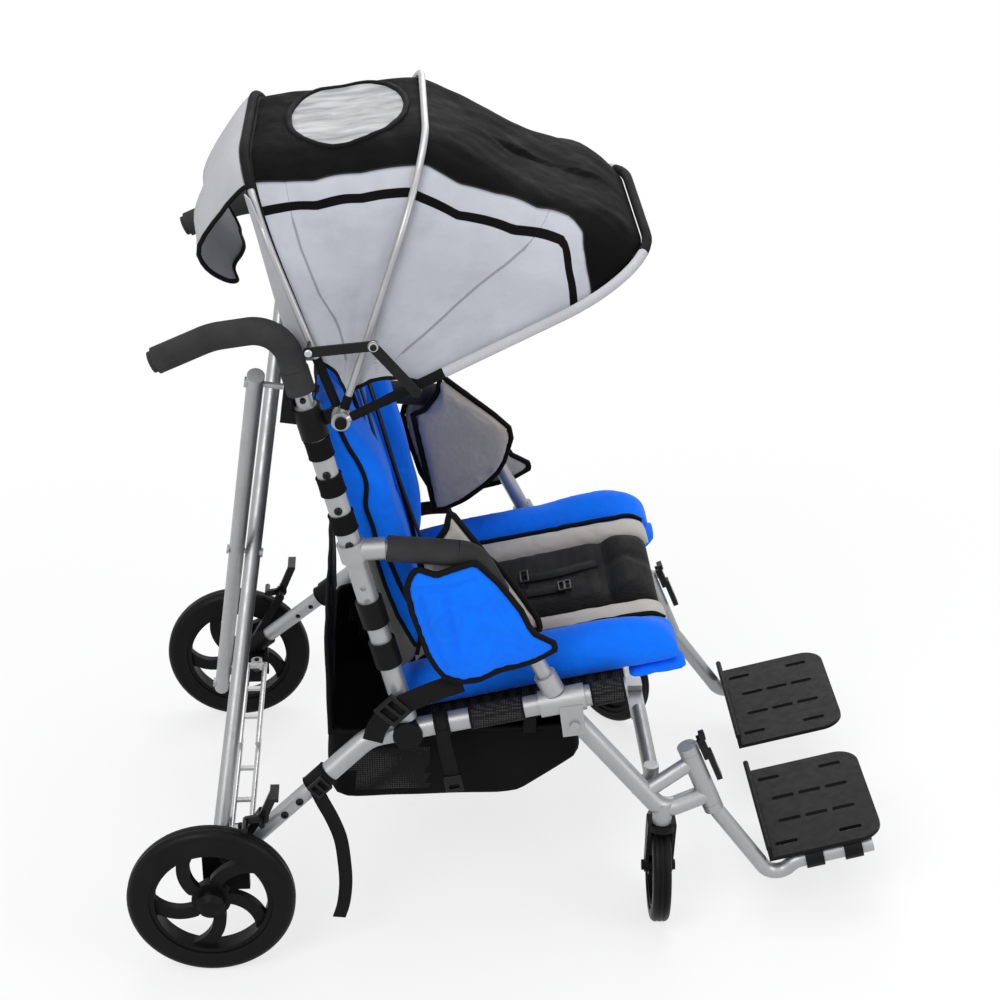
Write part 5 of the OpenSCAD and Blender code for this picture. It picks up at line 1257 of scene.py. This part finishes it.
def basket_ring(z, inset):
    """One level loop of the bag, with round corners and walls that belly out."""
    share = (z - BASKET["low"]) / (BASKET["rim"] - BASKET["low"])
    front = np.interp(z, [BASKET["low"], BASKET["nose_z"]], [BASKET["nose_x"], BASKET["front"]])
    belly = BASKET_BELLY * math.sin(math.pi * min(max(share, 0), 1))
    x0, x1 = BASKET["rear"] + inset, front - inset
    half = BASKET["half"] - inset
    corner = max(BASKET_CORNER - inset * 0.2, 6)
    mid_x, span_x = (x0 + x1) / 2, (x1 - x0) / 2
    loop = []
    for k in range(BASKET_POINTS):
        turn = 2 * math.pi * k / BASKET_POINTS
        c, s = math.cos(turn), math.sin(turn)
        scale = 1 / max(abs(c), abs(s))
        px, py = c * scale * span_x, s * scale * half
        over_x, over_y = abs(px) - (span_x - corner), abs(py) - (half - corner)
        if over_x > 0 and over_y > 0:
            reach = math.hypot(over_x, over_y)
            px = math.copysign(span_x - corner + over_x / reach * corner, px)
            py = math.copysign(half - corner + over_y / reach * corner, py)
        wave = BASKET_WAVE * noise.noise(Vector((c * 2.4, s * 2.4, z * 0.02)))
        grow = 1 + (belly * 0.5 + wave) / BASKET_MEAN * smooth(1 - inset / 40)
        loop.append(at(mid_x + px * grow, py * grow, z))
    return loop


basket_rows = [basket_ring(z, 0) for z in np.linspace(BASKET["rim"], BASKET["low"] + 10, 13)]
basket_rows += [basket_ring(BASKET["low"] + drop, inset) for inset, drop in BASKET_FLOOR]
basket_faces = quads(len(basket_rows), BASKET_POINTS, wrap=True)
basket_faces.append(tuple((len(basket_rows) - 1) * BASKET_POINTS + k for k in range(BASKET_POINTS)))
basket = piece("basket_bag", [p for row in basket_rows for p in row], basket_faces, black)
thicken(basket, BAG_THICK, CLOTH_SHARP)
NET_X, NET_Z, NET_BESIDE, NET_BEHIND, NET_MID, NET_HALF = (192, 300), (204, 276), 200, 182, 110, 62
BACK_NET_LOW, BACK_NET_TOP = BASKET["rim"] + 24, BASKET["back"] - 26
BACK_NET_MID, BACK_NET_HALF = 104, 88


def bag_net(face):
    """Net windows in the bag's sides and rear."""
    x, y, z = face.center.x / MM + MID_X, abs(face.center.y) / MM, face.center.z / MM
    in_side = NET_X[0] < x < NET_X[1] and y > NET_BESIDE
    in_rear = x < NET_BEHIND and abs(y - NET_MID) < NET_HALF
    return NET_Z[0] < z < NET_Z[1] and (in_side or in_rear)


def back_net(face):
    """Two net windows in the bag's tall back."""
    y, z = abs(face.center.y) / MM, face.center.z / MM
    return BACK_NET_LOW < z < BACK_NET_TOP and abs(y - BACK_NET_MID) < BACK_NET_HALF


paint(basket, net, bag_net)
keep_rest(basket)
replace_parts(basket, "basket")
fold_with_frame(basket)
piped("basket_rim", basket_ring(BASKET["rim"], 0), PIPE_R["basket rim"], closed=True)
BACK_HOLLOW, BACK_CREASE, BACK_DIP, BACK_ROWS, BACK_COLUMNS = 4, 1.5, 7, 17, 61


def back_point(u, across):
    """A place of the bag's tall back, slack between its two sides."""
    v = 2 * across - 1
    hollow = BACK_HOLLOW * math.sin(math.pi * u) * (1 - v * v)
    hollow += BACK_CREASE * noise.noise(Vector((v * 5, u * (BACK_ROWS - 1) * 0.2, 7.7)))
    z = lerp(BASKET["rim"] - 2, BASKET["back"], u) - BACK_DIP * u * (1 - v * v)
    return at(BASKET["rear"] + hollow, v * BASKET["half"], z)


back_rows = grid(BACK_ROWS, BACK_COLUMNS, back_point)
basket_back = sheet_solid("basket_back", back_rows, black, BAG_BACK_THICK)
paint(basket_back, net, back_net)
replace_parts(basket_back, "basket")
fold_with_frame(basket_back)
basket_binding = piped("basket_back_binding", three_edges(back_rows), PIPE_R["basket back"])
back_flat = (reach_of(back_rows[0]), reach_of([row[0] for row in back_rows]))

# Harness and belts
HARNESS = [(470, 48, 40), (430, 50, 47), (330, 58, 47), (230, 66, 47), (150, 74, 49), (112, 84, 50)]
HARNESS_WIDE, THICK_WEB, BELT_WIDE, BELT_THICK, BELT_LIFT = 24, 1.8, 22, 1.6, 2.2
BUCKLE_LIFT, BUCKLE_THICK = 4.6, 4
for side, sign, _ in SIDES:
    path = [on_back(s, sign * y, out) for s, y, out in HARNESS]
    fold_with_frame(ribbon("harness_strap_" + side, eased(path, 8), BACK_OUT, HARNESS_WIDE, THICK_WEB))
on_centre = skin_of(seat_centre)


def belt_place(s, y, lift):
    """A place on the seat's middle, lifted off its skin."""
    hit = on_centre(on_seat(s, y, RAY_FROM), -SEAT_UP)
    return hit + SEAT_UP * lift * MM


BELTS = (
    ((188, 3), (214, 1), (240, 2), (266, 7), (291, 13)),
    ((184, -42), (204, -43), (224, -44), (240, -44)),
)
BELT_BUCKLES = (
    (184, 4, (14, 34), ((-4, 4, -13, 13),)),
    (240, -44, (20, 27), ((-7, -2, -10, 10), (2, 7, -10, 10))),
)
for n, places in enumerate(BELTS):
    path = [belt_place(s, y, BELT_LIFT) for s, y in places]
    fold_with_frame(ribbon(f"belt_strap_{n}", eased(path, 5), SEAT_UP, BELT_WIDE, BELT_THICK))
belt_axes = ((math.cos(SEAT_TILT), 0, math.sin(SEAT_TILT)), (0, 1, 0), SEAT_UP)
for n, (s, y, size, windows) in enumerate(BELT_BUCKLES):
    where = belt_place(s, y, BUCKLE_LIFT)
    fold_with_frame(buckle(f"belt_buckle_{n}", where, (*size, BUCKLE_THICK), belt_axes, None, windows))

# Leg straps, with a clip and a loose tail
LEG_TOP, LEG_END = Vector((149.1, -267.0, 256.8)), Vector((24, -288, 148))
leg_along = (LEG_END - LEG_TOP).normalized()


def on_leg(s, sign, off=0.0):
    """A point s down the rear leg and off outwards."""
    p = LEG_TOP + leg_along * s
    return at(p.x, -sign * (p.y - off), p.z)


TAIL = [
    (0, 0, 0), (7, -3, -16), (20, -6, -44), (30, -7, -76),
    (34, -8, -112), (35, -8, -150), (31, -9, -184), (24, -9, -208),
]
TAIL_WIDE, TAIL_THICK, LEG_LOOP = 19, 1.5, (-20, -12, -4, 4, 12)
CLIP_DOWN, CLIP_OUT, TAIL_DOWN, TAIL_OUT = -4, 5, 2, 3.5
LEG_CLIP, LEG_WINDOWS = (26, 24, 6), ((-9, -2, -8, 8), (2, 9, -8, 8))
for side, sign, body in SIDES:
    axis = Vector((leg_along.x, -sign * leg_along.y, leg_along.z))
    outwards = Vector((0, sign, 0))
    loop = sleeve("leg_strap_" + side, [on_leg(s, sign) for s in LEG_LOOP], RAIL_R + LOOSE, strap, body, 1.0)
    clip_axes = (axis, axis.cross(outwards), outwards)
    where = on_leg(CLIP_DOWN, sign, RAIL_R + CLIP_OUT)
    buckle("leg_clip_" + side, where, LEG_CLIP, clip_axes, body, LEG_WINDOWS)
    start = on_leg(TAIL_DOWN, sign, RAIL_R + TAIL_OUT)
    tail = eased([start + Vector((x * MM, -sign * y * MM, z * MM)) for x, y, z in TAIL], 6)
    made = ribbon("leg_strap_tail_" + side, tail, (0.25, sign, 0.05), TAIL_WIDE, TAIL_THICK, body)
    reach_of(tail)

# Basket hangers, and a strap with a clip from each rail
HANGERS, HANGER_WIDE, HANGER_THICK = (-38, 44, 168), 18, 1.4
HANGER_IN, HANGER_OUT, HANGER_LOW, DROP_OUT, DROP_LOW = 1.8, 4, 6, 2.2, -2
DROP, DROP_AT, DROP_LOOP = ((0, 0), (2, -22), (8, -52), (13, -74)), 44, (35, 41, 47, 53)
BASKET_CLIP, CLIP_WINDOWS, CLIP_OFF = (24, 26, 7), ((-7, 7, -8, -1),), Vector((1, 0, -11))
for side, sign, body in SIDES:
    for n, s in enumerate(HANGERS):
        top = on_seat(s, sign * (HALF_WIDTH - RAIL_R - HANGER_IN), 0)
        low = Vector((top.x, sign * (BASKET["half"] + HANGER_OUT) * MM, (BASKET["rim"] - HANGER_LOW) * MM))
        path = eased([top, lerp(top, low, 0.5), low], 5)
        fold_with_frame(ribbon(f"basket_hanger_{side}{n}", path, (0, sign, 0.2), HANGER_WIDE, HANGER_THICK))
    top = on_seat(DROP_AT, sign * (HALF_WIDTH + RAIL_R + DROP_OUT), DROP_LOW)
    drop = eased([top + Vector((x * MM, 0, z * MM)) for x, z in DROP], 6)
    made = ribbon("basket_strap_" + side, drop, (0, sign, 0), TAIL_WIDE, TAIL_THICK, body)
    reach_of(drop)
    line = [on_seat(s, sign * HALF_WIDTH, 0) for s in DROP_LOOP]
    sleeve("basket_loop_" + side, line, RAIL_R + LOOSE, strap, body, 0.8)
    clip_axes = ((1, 0, 0.15), (-0.15, 0, 1), (0, sign, 0))
    buckle("basket_clip_" + side, drop[-1] + CLIP_OFF * MM, BASKET_CLIP, clip_axes, body, CLIP_WINDOWS)

# Strap with a ladder-lock buckle at the foot of the back tube
LAP_PATH = [(84, 262, 62), (40, 274, 62), (0, 278, 54), (-18, 278, 48), (-40, 276, 26), (-52, 270, 2)]
LAP_WIDE, LAP_AT, LAP_BUCKLE = 28, (-14, 281.5, 50), (36, 38, 7)
LAP_WINDOWS = ((-12, -2, -13, 13), (3, 12, -13, 13))
for side, sign, body in SIDES:
    path = [on_seat(s, sign * y, n) for s, y, n in LAP_PATH]
    ribbon("lap_strap_" + side, eased(path, 7), (0, sign, 0.3), LAP_WIDE, THICK_WEB, body)
    along = (path[2] - path[4]).normalized()
    lap_axes = (along, along.cross(Vector((0, sign, 0))), (0, sign, 0))
    s, y, n = LAP_AT
    buckle("lap_buckle_" + side, on_seat(s, sign * y, n), LAP_BUCKLE, lap_axes, body, LAP_WINDOWS)

# Small hardware: button caps on the tubes and rivets in the stays
BUTTON_R, BUTTON_SUNK, BACK_BUTTONS, BACK_BUTTON_H = 5.5, 0.4, (300, 352, 405), 3
LEG_BUTTONS, LEG_BUTTON_OUT, LEG_BUTTON_H = (34, 62), 11.2, 3.5
STAY_RIVETS, RIVET_Y, RIVET_H, RIVET_DENT = ((162.1, 900.6, 5.0), (241.79, 907.67, 7.5)), 292.6, 2.4, 0.3
for side, sign, body in SIDES:
    outwards = (0, sign, 0)
    for n, s in enumerate(BACK_BUTTONS):
        head = on_back(s, sign * (HALF_WIDTH + RAIL_R - BUTTON_SUNK), 0)
        round_cap(f"back_button_{side}{n}", head, outwards, BUTTON_R, BACK_BUTTON_H, gloss, body)
    for n, s in enumerate(LEG_BUTTONS):
        head = on_leg(s, sign, LEG_BUTTON_OUT)
        round_cap(f"leg_button_{side}{n}", head, outwards, BUTTON_R, LEG_BUTTON_H, gloss, body)
for side, sign, _ in SIDES:
    for n, (x, z, size) in enumerate(STAY_RIVETS):
        head, link = at(x, sign * RIVET_Y, z), f"stay_link_{side}_rear"
        round_cap(f"stay_rivet_{side}{n}", head, (0, sign, 0), size, RIVET_H, steel, link, RIVET_DENT)

# Finishes of the frame's own pieces
FRAME_TUBES = ("back_tube", "side_rail", "rear_leg", "front_leg", "arm_tube", "hanger", "handle_tube")
FINISHES = (
    (silver, (*FRAME_TUBES, "cross_tube", "x_tube", "bow")),
    (steel, ("spreader",)),
    (rubber, ("rear_tyre", "caster_tyre")),
    (foam, ("arm_foam", "grip")),
    (gloss, ("snap_button", "stay", "release_lever", "brake_lever")),
)
for name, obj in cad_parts.items():
    obj.data.materials.clear()
    fitting = [finish for finish, starts in FINISHES if name.startswith(starts)]
    obj.data.materials.append(fitting[0] if fitting else plastic)
    for face in obj.data.polygons:
        face.material_index = 0
    soften(obj, FRAME_SHARP)

BRIGHT_SLEEVE, AXLE_Z, AXLE_R = (590, 640), 115, 9.5


def bright_sleeve(face):
    return BRIGHT_SLEEVE[0] < face.center.z / MM < BRIGHT_SLEEVE[1]


def axle(face):
    return math.hypot(face.center.x / MM + MID_X, face.center.z / MM - AXLE_Z) < AXLE_R


for side in "rl":
    paint(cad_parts["tube_sleeves_" + side], silver, bright_sleeve)
    paint(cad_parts["wheel_bracket_" + side], steel, axle)

# Floor and light
FLOOR, FLOOR_Z = 6.0, -0.0005
WHITE = (0.86, 0.86, 0.865)


def background_rays(nodes, links):
    """1 for the rays that see the background: from the camera, or off metal, or through glass."""
    path = nodes.new("ShaderNodeLightPath")
    total = path.outputs["Is Camera Ray"]
    for name in ("Is Glossy Ray", "Is Transmission Ray"):
        both = nodes.new("ShaderNodeMath")
        both.operation = "MAXIMUM"
        links.new(total, both.inputs[0])
        links.new(path.outputs[name], both.inputs[1])
        total = both.outputs[0]
    return total


def studio_floor():
    """A pale floor. The camera sees it whiter, and plain white away from the object."""
    f = Finish("studio_floor", specular=0.1)
    grain = f.noise(0.004, 4.0)
    base = f.tones(f.noise(0.8, 3.0), WHITE, 0.99, 1.0)
    f.bump(grain, 0.00005)
    f.close(base, f.spread(grain, 0.75, 0.9))
    away = f.node("VectorMath", {0: f.place}, operation="LENGTH").outputs["Value"]
    share = f.spread(away, 0.72, 1.0, 0.75, 1.7)
    seen = f.math("MULTIPLY", share, background_rays(f.nodes, f.links))
    white = f.node("Emission", {"Color": (1, 1, 1, 1), "Strength": 1.0}).outputs[0]
    both = f.node("MixShader", {0: seen, 1: f.bsdf.outputs[0], 2: white}).outputs[0]
    f.links.new(both, f.nodes["Material Output"].inputs["Surface"])
    return f.mat


corners = [(x * FLOOR, y * FLOOR, FLOOR_Z) for x, y in ((-1, -1), (1, -1), (1, 1), (-1, 1))]
piece("floor", corners, [(0, 1, 2, 3)], studio_floor())

AIM = Vector((0, 0, 0.5))
LAMPS = (
    ("key_lamp", (-1.8, -2.6, 3.0), 2.2, 70),
    ("fill_lamp", (2.6, -2.0, 2.0), 2.4, 38),
    ("top_lamp", (0.2, 0.6, 3.4), 2.6, 48),
    ("back_lamp", (0.6, 3.0, 2.2), 2.2, 26),
)
for name, place, size, power in LAMPS:
    lamp = bpy.data.lights.new(name, "AREA")
    lamp.shape = "DISK"
    lamp.size = size
    lamp.energy = power
    made = bpy.data.objects.new(name, lamp)
    bpy.context.scene.collection.objects.link(made)
    made.location = place
    made.rotation_euler = (AIM - Vector(place)).to_track_quat("-Z", "Y").to_euler()

SKY, SKY_POWER = (0.93, 0.94, 0.96, 1), 0.45
world = bpy.data.worlds.new("studio")
bpy.context.scene.world = world
world.use_nodes = True
links, nodes = world.node_tree.links, world.node_tree.nodes
sky = nodes["Background"]
sky.inputs["Color"].default_value = SKY
sky.inputs["Strength"].default_value = SKY_POWER
white = nodes.new("ShaderNodeBackground")
white.inputs["Color"].default_value = (1, 1, 1, 1)
both = nodes.new("ShaderNodeMixShader")
links.new(background_rays(nodes, links), both.inputs[0])
links.new(sky.outputs[0], both.inputs[1])
links.new(white.outputs[0], both.inputs[2])
links.new(both.outputs[0], nodes["World Output"].inputs["Surface"])
bpy.context.scene.view_settings.view_transform = "Standard"
